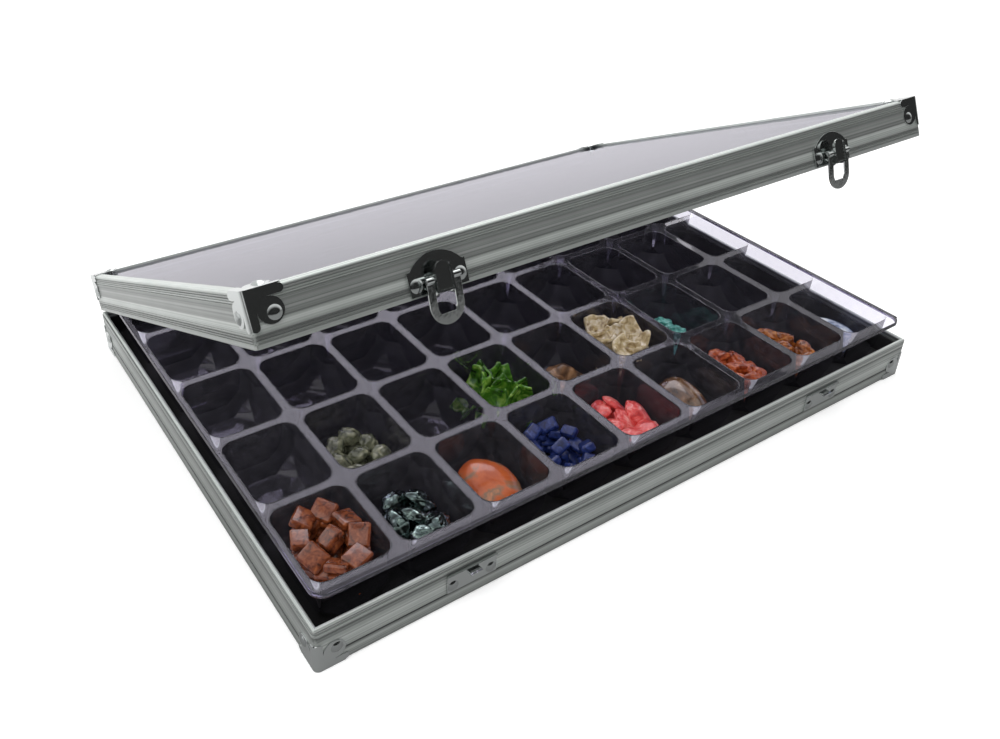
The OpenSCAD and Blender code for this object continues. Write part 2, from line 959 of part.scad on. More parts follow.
// A curled flake standing on its edge: a thin slab with seeded corners
module flake(w, h, thick, seed) {
    r = rands(0, 1, 4, seed);
    rotate([90, 0, 0])
        translate([0, 0, -thick/2])
            linear_extrude(thick)
                polygon([[-w*0.3, 0], [w*(0.2 + 0.15*r[0]), 0], [w/2, h*(0.3 + 0.2*r[1])],
                    [w*(0.1 + 0.3*r[2]), h], [-w*0.25, h*(0.75 + 0.2*r[3])], [-w/2, h*0.4]]);
}

module in_cup(column, row) {
    translate([cup_x(column - 1), cup_y(row - 1), stone_z])
        children();
}

tumble_w = 0.39*bed_x;
tumble_d = 0.27*bed_y;
tumble_h = 0.8*stone_h;
step_x = 0.435*bed_x;
step_y = 0.3*bed_y;

function tumble_size(kx, ky, kz) = [kx*tumble_w, ky*tumble_d, kz*tumble_h];

// A heap in layers, on a grid of nx by ny places, each child turned by a seeded angle
module heap(nx, ny, layers, seed) {
    for (k = [0:layers - 1]) {
        turns = rands(0, 360, nx*ny, seed + k);
        for (i = [0:nx - k - 1])
            for (j = [0:ny - k - 1])
                translate([(i - (nx - k - 1)/2)*step_x, (j - (ny - k - 1)/2)*step_y,
                    k*(tumble_h/2 + seat_gap)])
                    rotate([0, 0, turns[i*ny + j]])
                        children();
    }
}

// A ring-shaped heap, laid in bond like bricks, each child turned a little by a seeded angle
module ring_heap(count, layers, layer_h, seed) {
    rx = bed_x/2 - 0.75*chip_w;
    ry = bed_y/2 - 0.75*chip_w;
    for (k = [0:layers - 1]) {
        turns = rands(-8, 8, count, seed + k);
        for (i = [0:count - 1]) {
            a = 360*(i + k/2)/count;
            translate([rx*cos(a), ry*sin(a), k*(layer_h + seat_gap)])
                rotate([0, 0, atan2(ry*cos(a), -rx*sin(a)) + turns[i]])
                    children();
        }
    }
}

module goldstone_chips() {
    color([0.55, 0.27, 0.12])
        in_cup(1, 1)
            ring_heap(7, 4, chip_t, 11)
                translate([-chip_w/2, -chip_w/2, 0])
                    cube([chip_w, chip_w, chip_t]);
}

module hematite_tumbles() {
    color([0.35, 0.37, 0.36])
        in_cup(2, 1)
            heap(2, 3, 1, 21)
                stone(tumble_size(0.92, 0.85, 0.9), 22, 0.12);
}

module banded_pebble() {
    color([0.75, 0.35, 0.13])
        in_cup(3, 1)
            rotate([0, 0, 8])
                stone([0.84*bed_x, pebble_share*bed_y, 1.33*stone_h], 31, 0.03);
}

module lapis_chips() {
    color([0.1, 0.13, 0.33])
        in_cup(4, 1)
            ring_heap(7, 2, chip_t, 41)
                translate([-chip_w/2, -0.4*chip_w, 0])
                    cube([chip_w, 0.8*chip_w, chip_t]);
}

module coral_discs() {
    color([0.75, 0.25, 0.22])
        in_cup(5, 1)
            heap(2, 3, 2, 51)
                cylinder(h = tumble_h/2, r = 0.18*bed_x);
}

module brown_pebble() {
    color([0.36, 0.27, 0.2])
        in_cup(6, 1)
            rotate([0, 0, -12])
                stone([0.72*bed_x, 0.74*bed_y, stone_h], 61, 0.04);
}

module carnelian_stones() {
    color([0.75, 0.22, 0.1])
        in_cup(7, 1)
            heap(2, 3, 1, 71)
                stone(tumble_size(1, 1, 1.1), 72, 0.2);
}

module amber_pieces() {
    color([0.62, 0.3, 0.12])
        in_cup(8, 1)
            heap(2, 3, 1, 81)
                stone(tumble_size(1, 0.98, 0.92), 82, 0.16);
}

module sodalite_pebble() {
    color([0.5, 0.55, 0.66])
        in_cup(9, 1)
            rotate([0, 0, 20])
                stone([0.67*bed_x, 0.7*bed_y, stone_h], 91, 0.05);
}

module jade_tumbles() {
    color([0.48, 0.5, 0.4])
        in_cup(2, 2)
            heap(2, 3, 1, 101)
                stone(tumble_size(1, 0.95, 0.92), 102, 0.1);
}

module green_shell_flakes() {
    color([0.3, 0.42, 0.33])
        in_cup(4, 2)
            for (i = [0:flakes - 1])
                translate([(i%2 - 0.5)*0.52*bed_x,
                    ((i + 0.5)/flakes - 0.5)*(bed_y - floor_corner), 0])
                    rotate([0, 0, 12*(i%3 - 1)])
                        flake(0.46*bed_x, flake_h*(0.72 + 0.14*(i*5%3)), flake_t, 110 + i);
}

module brown_rock() {
    color([0.35, 0.24, 0.17])
        in_cup(5, 2)
            stone([0.84*bed_x, 0.7*bed_y, 1.33*stone_h], 121, 0.22);
}

module pearl_shells() {
    color([0.86, 0.78, 0.6])
        in_cup(6, 2)
            ring_heap(6, 4, chip_t, 131)
                cylinder(h = chip_t, r = 0.7*chip_w);
}

module turquoise_cluster() {
    color([0.35, 0.6, 0.58])
        in_cup(7, 2)
            heap(2, 3, 1, 141)
                stone(tumble_size(1, 1, 1), 142, 0.2);
}

base_rail("front");  // base_front_rail
base_rail("back");  // base_back_rail
base_rail("left");  // base_left_rail
base_rail("right");  // base_right_rail
floor_panel();
floor_pad();
wall_lining();
base_cap(CORNERS[0]);  // base_cap_front_left
base_cap(CORNERS[1]);  // base_cap_front_right
base_cap(CORNERS[2]);  // base_cap_back_left
base_cap(CORNERS[3]);  // base_cap_back_right
base_cap_rivets();
keeper(LEFT);  // keeper_left
keeper(RIGHT);  // keeper_right
keeper_rivets();
hinge_base_leaf(LEFT);  // hinge_base_leaf_left
hinge_base_leaf(RIGHT);  // hinge_base_leaf_right
hinge_pin(LEFT);  // hinge_pin_left
hinge_pin(RIGHT);  // hinge_pin_right
hinge_base_rivets();
lid_rail("front");  // lid_front_rail
lid_rail("back");  // lid_back_rail
lid_rail("left");  // lid_left_rail
lid_rail("right");  // lid_right_rail
lid_panel();
lid_cap(CORNERS[0]);  // lid_cap_front_left
lid_cap(CORNERS[1]);  // lid_cap_front_right
lid_cap(CORNERS[2]);  // lid_cap_back_left
lid_cap(CORNERS[3]);  // lid_cap_back_right
lid_cap_rivets();
hinge_lid_leaf(LEFT);  // hinge_lid_leaf_left
hinge_lid_leaf(RIGHT);  // hinge_lid_leaf_right
hinge_lid_rivets();
latch_plate(LEFT);  // latch_plate_left
latch_plate(RIGHT);  // latch_plate_right
latch_rivets();
lever_pin(LEFT);  // lever_pin_left
lever_pin(RIGHT);  // lever_pin_right
lever(LEFT);  // lever_left
lever(RIGHT);  // lever_right
loop_pin(LEFT);  // loop_pin_left
loop_pin(RIGHT);  // loop_pin_right
loop(LEFT);  // loop_left
loop(RIGHT);  // loop_right
tray();
goldstone_chips();
hematite_tumbles();
banded_pebble();
lapis_chips();
coral_discs();
brown_pebble();
carnelian_stones();
amber_pieces();
sodalite_pebble();
jade_tumbles();
green_shell_flakes();
brown_rock();
pearl_shells();
turquoise_cluster();
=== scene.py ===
"""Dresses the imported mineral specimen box: extruded frame, plated fittings, clear sheets and stones."""

import logging
import math
import random
from dataclasses import dataclass
from enum import Enum

import bmesh
import bpy
from mathutils import Euler, Matrix, Vector, noise


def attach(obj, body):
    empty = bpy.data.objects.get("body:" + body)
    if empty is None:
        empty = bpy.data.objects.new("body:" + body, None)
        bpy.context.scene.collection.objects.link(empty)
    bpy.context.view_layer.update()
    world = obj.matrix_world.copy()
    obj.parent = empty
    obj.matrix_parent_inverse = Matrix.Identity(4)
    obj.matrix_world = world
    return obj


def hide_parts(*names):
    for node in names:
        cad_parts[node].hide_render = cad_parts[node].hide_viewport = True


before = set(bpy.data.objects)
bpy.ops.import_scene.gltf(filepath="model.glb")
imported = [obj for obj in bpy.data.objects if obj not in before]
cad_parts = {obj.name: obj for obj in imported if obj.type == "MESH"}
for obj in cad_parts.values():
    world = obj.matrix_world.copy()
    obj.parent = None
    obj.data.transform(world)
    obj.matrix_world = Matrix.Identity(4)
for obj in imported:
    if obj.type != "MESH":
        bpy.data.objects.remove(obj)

LOG = logging.getLogger("specimen_box")
MM = 0.001
CORNERS = ((1, 1), (-1, 1), (-1, -1), (1, -1))  # signs of x and y, anticlockwise from the back right
TOUCH = 1e-6  # two lengths closer than this, in metres, count as the same


def to_linear(code: str) -> tuple[float, float, float, float]:
    """Turn an sRGB hex colour into a linear one.

    Args:
        code: Colour as "#RRGGBB".

    Returns:
        Linear red, green, blue and alpha.
    """
    parts = [int(code[i:i + 2], 16) / 255 for i in (1, 3, 5)]
    lin = [c / 12.92 if c <= 0.04045 else ((c + 0.055) / 1.055) ** 2.4 for c in parts]
    return (lin[0], lin[1], lin[2], 1.0)


def add_node(tree: bpy.types.NodeTree, kind: str, settings: dict | None = None,
             links: dict | None = None) -> bpy.types.Node:
    """Add a shader node with its settings and its incoming links.

    Args:
        tree: Node tree that takes the node.
        kind: Node type without the "ShaderNode" prefix.
        settings: Attribute names, or socket names or numbers, with their values.
        links: Input socket names or numbers with the output sockets that feed them.

    Returns:
        The new node.
    """
    node = tree.nodes.new("ShaderNode" + kind)
    for key, value in (settings or {}).items():
        if isinstance(key, str) and hasattr(node, key):
            setattr(node, key, value)
        else:
            node.inputs[key].default_value = value
    for key, source in (links or {}).items():
        tree.links.new(source, node.inputs[key])
    return node


def new_material(name: str) -> tuple[bpy.types.Material, bpy.types.NodeTree]:
    """Make a material with an empty node tree.

    Args:
        name: Its name.

    Returns:
        The material and its node tree.
    """
    material = bpy.data.materials.new(name)
    material.use_nodes = True
    material.node_tree.nodes.clear()
    return material, material.node_tree


def ramp(tree: bpy.types.NodeTree, source: bpy.types.NodeSocket,
         stops: list[tuple[float, str]]) -> bpy.types.NodeSocket:
    """Colour a value by a ramp of hex colours.

    Args:
        tree: Node tree to add to.
        source: Value that is coloured.
        stops: Places from 0 to 1 with their colours.

    Returns:
        The colour output.
    """
    node = add_node(tree, "ValToRGB", links={"Fac": source})
    band = node.color_ramp
    while len(band.elements) < len(stops):
        band.elements.new(0.5)
    for element, (place, code) in zip(band.elements, stops):
        element.position = place
        element.color = to_linear(code)
    return node.outputs["Color"]


def deselect_all() -> None:
    """Leave nothing selected."""
    for obj in bpy.context.selected_objects:
        obj.select_set(False)


def activate(obj: bpy.types.Object) -> None:
    """Make one object the only selected and active one.

    Args:
        obj: The object.
    """
    deselect_all()
    obj.select_set(True)
    bpy.context.view_layer.objects.active = obj


def settle(obj: bpy.types.Object, name: str) -> bpy.types.Object:
    """Name a piece and put its place, turn and size into its mesh.

    Args:
        obj: The piece.
        name: Its name.

    Returns:
        The same object, at the origin.
    """
    activate(obj)
    obj.name = name
    obj.data.name = name
    bpy.ops.object.transform_apply(location=True, rotation=True, scale=True)
    return obj


def apply_all(obj: bpy.types.Object) -> None:
    """Apply each modifier of a piece in order.

    Args:
        obj: The piece.
    """
    activate(obj)
    for modifier in list(obj.modifiers):
        bpy.ops.object.modifier_apply(modifier=modifier.name)


def smooth(obj: bpy.types.Object, degrees: float) -> None:
    """Shade a piece smooth where its faces meet at less than an angle."""
    activate(obj)
    bpy.ops.object.shade_smooth_by_angle(angle=math.radians(degrees))


def join(objs: list[bpy.types.Object], name: str) -> bpy.types.Object:
    """Join meshes into one piece.

    Args:
        objs: Objects to join.
        name: Name of the result.

    Returns:
        The joined object, settled at the origin.
    """
    deselect_all()
    for obj in objs:
        obj.select_set(True)
    bpy.context.view_layer.objects.active = objs[0]
    if len(objs) > 1:
        bpy.ops.object.join()
    return settle(bpy.context.view_layer.objects.active, name)


def stand_for(obj: bpy.types.Object, body: str, node: str) -> None:
    """Let a piece ride on a body in the place of one CAD node, which it hides.

    Args:
        obj: The piece.
        body: Name of the body that carries it.
        node: Name of the CAD node that it stands for.
    """
    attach(obj, body)
    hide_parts(node)
    LOG.info("%s: %d faces, for %s on %s", obj.name, len(obj.data.polygons), node, body)


class Grain(Enum):
    """Direction that the fine lines of a surface follow."""

    ALONG_X = (0.0008, 1.0, 1.0)
    ALONG_Y = (1.0, 0.0008, 1.0)


@dataclass(frozen=True)
class Finish:
    """A surface finish: a name, a colour and how its surface was made."""

    name: str
    colour: str
    roughness: float

    def start(self) -> tuple[bpy.types.Material, bpy.types.NodeTree, bpy.types.Node]:
        """Make the material with its Principled shader.

        Returns:
            Material, node tree and shader node.
        """
        material, tree = new_material(self.name)
        shader = add_node(tree, "BsdfPrincipled",
                          {"Base Color": to_linear(self.colour), "Roughness": self.roughness})
        add_node(tree, "OutputMaterial", links={"Surface": shader.outputs[0]})
        return material, tree, shader

    def place(self, tree: bpy.types.NodeTree, size_mm: float,
              stretch: tuple[float, float, float] = (1, 1, 1), tilt: float = 0.0
              ) -> bpy.types.NodeSocket:
        """Give object coordinates in units of a real size.

        Args:
            tree: Node tree to add to.
            size_mm: Real size of one unit of the pattern.
            stretch: Further scale on each axis.
            tilt: Turn about X, in degrees, before the scale.

        Returns:
            The coordinates.
        """
        coord = add_node(tree, "TexCoord")
        unit = 1 / (size_mm * MM)
        turned = add_node(tree, "Mapping", {"Rotation": (math.radians(tilt), 0, 0)},
                          {"Vector": coord.outputs["Object"]})
        return add_node(tree, "Mapping", {"Scale": tuple(unit * s for s in stretch)},
                        {"Vector": turned.outputs[0]}).outputs[0]


@dataclass(frozen=True)
class ExtrudedAluminium(Finish):
    """Anodised aluminium: satin, pale grey-green, with faint die lines along the bar.

    Light and dark strips along the bar's height are painted: painted shade in the grooves between the
    ribs and painted highlights on the ribs.
    """

    # Real die lines lie about 0.1 mm apart; they are drawn 0.8 mm wide so that they show.
    line_mm: float = 0.8
    # Uneven etching before the anodising leaves clouds of about a thumb's width.
    cloud_mm: float = 22.0
    metallic: float = 0.55
    grain: Grain = Grain.ALONG_X
    tilt: float = 0.0
    start_m: tuple[float, float] = (0.0, 0.0)
    height: float = 28.5 * MM
    # Painted shade and painted highlights: grey levels by height up the bar, dark where the grooves lie
    # and light on the ribs.
    painted_light_bands: tuple[tuple[float, str], ...] = ((0.0, "#FFFFFF"), (1.0, "#FFFFFF"))

    def make(self) -> bpy.types.Material:
        """Build the material.

        Returns:
            The material.
        """
        material, tree, shader = self.start()
        shader.inputs["Metallic"].default_value = self.metallic
        # Painted shade and painted highlights by height up the bar, multiplied into the colour.
        lean = math.radians(self.tilt)
        up = Vector((0, math.sin(lean), math.cos(lean)))
        rise = add_node(tree, "VectorMath", {"operation": "DOT_PRODUCT", 1: tuple(up)},
                        {0: add_node(tree, "TexCoord").outputs["Object"]})
        low = up.y * self.start_m[0] + up.z * self.start_m[1]
        share = add_node(tree, "MapRange", {"From Min": low, "From Max": low + self.height},
                         {"Value": rise.outputs["Value"]})
        band = ramp(tree, share.outputs[0], list(self.painted_light_bands))
        lines = add_node(tree, "TexNoise", {"Scale": 1.0, "Detail": 3.0},
                         {"Vector": self.place(tree, self.line_mm, self.grain.value, self.tilt)})
        cloud = add_node(tree, "TexNoise", {"Scale": 1.0, "Detail": 4.0},
                         {"Vector": self.place(tree, self.cloud_mm)})
        drawn = ramp(tree, lines.outputs[0], [(0.35, "#B4B8B6"), (0.5, self.colour),
                                              (0.65, "#F2F4F3")])
        etched = ramp(tree, cloud.outputs[0], [(0.3, "#DDDFDE"), (0.7, "#FFFFFF")])
        tone = add_node(tree, "Mix", {"data_type": "RGBA", "blend_type": "MULTIPLY", 0: 0.35},
                        {6: drawn, 7: etched})
        painted_light_tone = add_node(tree, "Mix", {"data_type": "RGBA", "blend_type": "MULTIPLY", 0: 1.0},
                          {6: tone.outputs[2], 7: band})
        tree.links.new(painted_light_tone.outputs[2], shader.inputs["Base Color"])
        rough = add_node(tree, "MapRange", {"To Min": self.roughness - 0.06,
                                            "To Max": self.roughness + 0.08},
                         {"Value": lines.outputs[0]})
        tree.links.new(rough.outputs[0], shader.inputs["Roughness"])
        bump = add_node(tree, "Bump", {"Strength": 0.05, "Distance": 0.05 * MM},
                        {"Height": lines.outputs[0]})
        tree.links.new(bump.outputs[0], shader.inputs["Normal"])
        return material


@dataclass(frozen=True)
class PlatedSteel(Finish):
    """Stamped steel with bright plating: mirror-like, with slight waves and fingerprints."""

    wave: float = 0.05
    # Pressing leaves shallow waves a few millimetres wide, and handling leaves finer smears.
    wave_mm: float = 4.0
    smear_mm: float = 1.6

    def make(self) -> bpy.types.Material:
        """Build the material.

        Returns:
            The material.
        """
        material, tree, shader = self.start()
        shader.inputs["Metallic"].default_value = 1.0
        wave = add_node(tree, "TexNoise", {"Scale": 1.0, "Detail": 2.0},
                        {"Vector": self.place(tree, self.wave_mm)})
        smear = add_node(tree, "TexNoise", {"Scale": 1.0, "Detail": 6.0},
                         {"Vector": self.place(tree, self.smear_mm)})
        rough = add_node(tree, "MapRange", {"From Min": 0.35, "From Max": 0.7,
                                            "To Min": self.roughness * 0.6,
                                            "To Max": self.roughness * 1.8},
                         {"Value": smear.outputs[0]})
        tree.links.new(rough.outputs[0], shader.inputs["Roughness"])
        bump = add_node(tree, "Bump", {"Strength": self.wave, "Distance": 0.4 * MM},
                        {"Height": wave.outputs[0]})
        tree.links.new(bump.outputs[0], shader.inputs["Normal"])
        return material


@dataclass(frozen=True)
class BlackFoam(Finish):
    """Black foam and felt: deep matt black with a fine fibrous speckle and a soft sheen."""

    # Cells and fibres are 0.2 to 0.5 mm wide; they are drawn a little coarser so that they show.
    grain_mm: float = 0.6

    def make(self) -> bpy.types.Material:
        """Build the material.

        Returns:
            The material.
        """
        material, tree, shader = self.start()
        shader.inputs["Sheen Weight"].default_value = 0.25
        fibre = add_node(tree, "TexNoise", {"Scale": 1.0, "Detail": 5.0},
                         {"Vector": self.place(tree, self.grain_mm)})
        tree.links.new(ramp(tree, fibre.outputs[0], [(0.35, "#050506"), (0.75, self.colour)]),
                       shader.inputs["Base Color"])
        bump = add_node(tree, "Bump", {"Strength": 0.5, "Distance": 0.3 * MM},
                        {"Height": fibre.outputs[0]})
        tree.links.new(bump.outputs[0], shader.inputs["Normal"])
        return material


@dataclass(frozen=True)
class DarkBoard(Finish):
    """Hardboard: dark brown pressed fibre, faintly mottled."""

    # Bundles of pressed fibre are 1 to 3 mm long.
    fibre_mm: float = 2.5

    def make(self) -> bpy.types.Material:
        """Build the material.

        Returns:
            The material.
        """
        material, tree, shader = self.start()
        fibre = add_node(tree, "TexNoise", {"Scale": 1.0, "Detail": 8.0},
                         {"Vector": self.place(tree, self.fibre_mm)})
        tree.links.new(ramp(tree, fibre.outputs[0], [(0.3, "#2A211B"), (0.7, self.colour)]),
                       shader.inputs["Base Color"])
        return material


@dataclass(frozen=True)
class ClearSheet(Finish):
    """Clear formed plastic: see-through face on, mirror-like at a grazing angle, a faint haze."""

    haze: float = 0.03
    index: float = 1.5
    boost: float = 1.0
    # Forming leaves waves about as wide as a finger; dust lies in patches of half that.
    wave_mm: float = 14.0
    dust_mm: float = 5.0

    def make(self) -> bpy.types.Material:
        """Build the material.

        Returns:
            The material.
        """
        material, tree = new_material(self.name)
        clear = add_node(tree, "BsdfTransparent", {"Color": to_linear(self.colour)})
        gloss = add_node(tree, "BsdfGlossy", {"Color": to_linear("#ECEAF2"),
                                              "Roughness": self.roughness})
        milk = add_node(tree, "BsdfDiffuse", {"Color": to_linear("#E4E2EE")})
        waves = add_node(tree, "TexNoise", {"Scale": 1.0, "Detail": 2.0},
                         {"Vector": self.place(tree, self.wave_mm)})
        dust = add_node(tree, "TexNoise", {"Scale": 1.0, "Detail": 8.0},
                        {"Vector": self.place(tree, self.dust_mm)})
        bump = add_node(tree, "Bump", {"Strength": 0.08, "Distance": 1.0 * MM},
                        {"Height": waves.outputs[0]})
        tree.links.new(bump.outputs[0], gloss.inputs["Normal"])
        mirror = add_node(tree, "Fresnel", {"IOR": self.index}, {"Normal": bump.outputs[0]})
        gain = add_node(tree, "Math", {"operation": "MULTIPLY", 1: self.boost,
                                       "use_clamp": True}, {0: mirror.outputs[0]})
        cloud = add_node(tree, "MapRange", {"From Min": 0.35, "From Max": 0.75,
                                            "To Min": self.haze * 0.5, "To Max": self.haze * 1.5},
                         {"Value": dust.outputs[0]})
        body = add_node(tree, "MixShader", links={0: cloud.outputs[0], 1: clear.outputs[0],
                                                  2: milk.outputs[0]})
        skin = add_node(tree, "MixShader", links={0: gain.outputs[0], 1: body.outputs[0],
                                                  2: gloss.outputs[0]})
        add_node(tree, "OutputMaterial", links={"Surface": skin.outputs[0]})
        return material


@dataclass(frozen=True)
class Stone(Finish):
    """Polished or broken stone: two to four mineral colours in clouds, with optional glitter."""

    stops: tuple[tuple[float, str], ...] = ((0.3, "#303030"), (0.7, "#808080"))
    cloud_mm: float = 5.0
    detail: float = 5.0
    stretch: tuple[float, float, float] = (1, 1, 1)
    glitter: float = 0.0
    coat: float = 0.0
    bump: float = 0.1
    metallic: float = 0.0
    glow: float = 0.0
    # Copper flecks are 0.05 to 0.2 mm wide; they are drawn larger so that they show.
    fleck_mm: float = 0.35

    def make(self) -> bpy.types.Material:
        """Build the material.

        Returns:
            The material.
        """
        material, tree, shader = self.start()
        shader.inputs["Metallic"].default_value = self.metallic
        shader.inputs["Coat Weight"].default_value = self.coat
        shader.inputs["Coat Roughness"].default_value = 0.05
        shader.inputs["Subsurface Weight"].default_value = self.glow
        shader.inputs["Subsurface Radius"].default_value = (3 * MM, 1.5 * MM, 1 * MM)
        cloud = add_node(tree, "TexNoise", {"Scale": 1.0, "Detail": self.detail,
                                            "Distortion": 0.8},
                         {"Vector": self.place(tree, self.cloud_mm, self.stretch)})
        colour = ramp(tree, cloud.outputs[0], list(self.stops))
        if self.glitter:
            flecks = add_node(tree, "TexVoronoi", {"Scale": 1.0},
                              {"Vector": self.place(tree, self.fleck_mm)})
            spark = add_node(tree, "MapRange", {"From Min": 0.12, "From Max": 0.0},
                             {"Value": flecks.outputs["Distance"]})
            lit = add_node(tree, "Mix", {"data_type": "RGBA", 7: to_linear("#F0B070")},
                           {0: spark.outputs[0], 6: colour})
            colour = lit.outputs[2]
        tree.links.new(colour, shader.inputs["Base Color"])
        fine = add_node(tree, "TexNoise", {"Scale": 1.0, "Detail": 6.0},
                        {"Vector": self.place(tree, self.cloud_mm * 0.25)})
        bump = add_node(tree, "Bump", {"Strength": self.bump, "Distance": 0.5 * MM},
                        {"Height": fine.outputs[0]})
        tree.links.new(bump.outputs[0], shader.inputs["Normal"])
        return material


@dataclass
class CaseFrame:
    """The extruded rails, the linings and the clear lid sheet, on their CAD nodes."""

    lid_tilt: float = 25.0
    hinge_y: float = 164.5 * MM
    base_h: float = 28.5 * MM
    lid_h: float = 24.5 * MM

    def dress(self) -> None:
        """Give each rail, lining and sheet its finish."""
        alloy, satin = "#DFE6E1", 0.32
        # Painted shade and painted highlights up the rails: dark strips where the grooves lie, light
        # strips on the ribs.
        base_painted_light_bands = ((0.0, "#A0A0A0"), (0.22, "#C9C9C9"), (0.28, "#6A6A6A"), (0.31, "#B9B9B9"),
                      (0.5, "#DEDEDE"), (0.7, "#B8B8B8"), (0.8, "#8C8C8C"), (0.86, "#D9D9D9"),
                      (0.9, "#8C8C8C"), (1.0, "#FFFFFF"))
        lid_painted_light_bands = ((0.0, "#C6C6C6"), (0.22, "#A2A2A2"), (0.27, "#D8D8D8"), (0.4, "#E8E8E8"),
                     (0.46, "#9A9A9A"), (0.6, "#B8B8B8"), (0.7, "#959595"), (0.82, "#CCCCCC"),
                     (0.9, "#A0A0A0"), (0.96, "#FFFFFF"))
        low = {"painted_light_bands": base_painted_light_bands}
        high = {"tilt": self.lid_tilt, "start_m": (self.hinge_y, self.base_h),
                "height": self.lid_h, "painted_light_bands": lid_painted_light_bands}
        along_x = ExtrudedAluminium("anodised_aluminium_extruded_x", alloy, satin, **low)
        along_y = ExtrudedAluminium("anodised_aluminium_extruded_y", alloy, satin,
                                    grain=Grain.ALONG_Y, **low)
        lid_long = ExtrudedAluminium("anodised_aluminium_extruded_lid_x", alloy, satin, **high)
        lid_side = ExtrudedAluminium("anodised_aluminium_extruded_lid_y", alloy, satin,
                                     grain=Grain.ALONG_Y, **high)
        finishes = {
            along_x: ("base_front_rail", "base_back_rail"),
            lid_long: ("lid_front_rail", "lid_back_rail"),
            along_y: ("base_left_rail", "base_right_rail"),
            lid_side: ("lid_left_rail", "lid_right_rail"),
            BlackFoam("black_foam_cut", "#141416", 0.95, 0.9): ("floor_pad",),
            BlackFoam("black_felt_pressed", "#101012", 0.9, 0.35): ("wall_lining",),
            DarkBoard("hardboard_pressed", "#43352B", 0.7): ("floor_panel",),
            ClearSheet("clear_acrylic_cast", "#F8F7FB", 0.03, 0.012, 1.45): ("lid_panel",),
        }
        for finish, nodes in finishes.items():
            paint(finish.make(), *nodes)


def paint(material: bpy.types.Material, *nodes: str) -> None:
    """Assign a material to CAD nodes.

    Args:
        material: The material.
        *nodes: Node names.
    """
    for node in nodes:
        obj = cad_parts[node]
        obj.data.materials.clear()
        obj.data.materials.append(material)
        LOG.info("%s: %s", node, material.name)


@dataclass
class Fittings:
    """Corner caps, latches, keepers, hinges and rivets."""

    edge: float = 0.22 * MM
    segments: int = 2
    sharp: float = 35.0
    weld: float = 0.002 * MM
    caps: tuple[str, ...] = ("front_left", "front_right", "back_left", "back_right")

    def rounded(self, node: str, body: str, material: bpy.types.Material,
                width: float) -> None:
        """Replace a stamped part by a copy with rounded edges.

        Args:
            node: CAD node that is copied.
            body: Body that the copy rides on.
            material: Its finish.
            width: Width of the rounding.
        """
        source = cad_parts[node]
        mesh = source.data.copy()
        obj = bpy.data.objects.new("fine_" + node, mesh)
        bpy.context.scene.collection.objects.link(obj)
        obj.matrix_world = source.matrix_world.copy()
        obj.data.materials.clear()
        obj.data.materials.append(material)
        activate(obj)
        bpy.ops.object.mode_set(mode="EDIT")
        bpy.ops.mesh.select_all(action="SELECT")
        bpy.ops.mesh.remove_doubles(threshold=self.weld)
        bpy.ops.mesh.dissolve_limited(angle_limit=math.radians(1.0))
        bpy.ops.object.mode_set(mode="OBJECT")
        settle(obj, "fine_" + node)
        bevel = obj.modifiers.new("edge", "BEVEL")
        bevel.width = width
        bevel.segments = self.segments
        bevel.limit_method = "ANGLE"
        bevel.angle_limit = math.radians(self.sharp)
        apply_all(obj)
        smooth(obj, 40)
        flat = obj.modifiers.new("flat_faces", "WEIGHTED_NORMAL")
        flat.keep_sharp = True
        apply_all(obj)
        stand_for(obj, body, node)

    def dress(self) -> None:
        """Build and dress all fittings."""
        plate = PlatedSteel("steel_stamped_bright_plated", "#D3D7D6", 0.07).make()
        rivet = PlatedSteel("steel_headed_plated", "#B9BDBC", 0.14, 0.1).make()
        hinge = PlatedSteel("steel_rolled_plated", "#B4B8B7", 0.2, 0.1).make()
        for corner in self.caps:
            self.rounded("base_cap_" + corner, "base", plate, self.edge)
            self.rounded("lid_cap_" + corner, "lid", plate, self.edge)
        for side in ("left", "right"):
            self.rounded("keeper_" + side, "base", plate, self.edge)
            self.rounded("latch_plate_" + side, "lid", plate, self.edge)
            self.rounded("lever_" + side, "lever_" + side, plate, self.edge)
            self.rounded("loop_" + side, "loop_" + side, plate, self.edge * 1.2)
        paint(rivet, "base_cap_rivets", "lid_cap_rivets", "keeper_rivets", "latch_rivets")
        paint(hinge, *(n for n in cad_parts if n.startswith(("hinge_", "lever_pin_",
                                                                 "loop_pin_"))))


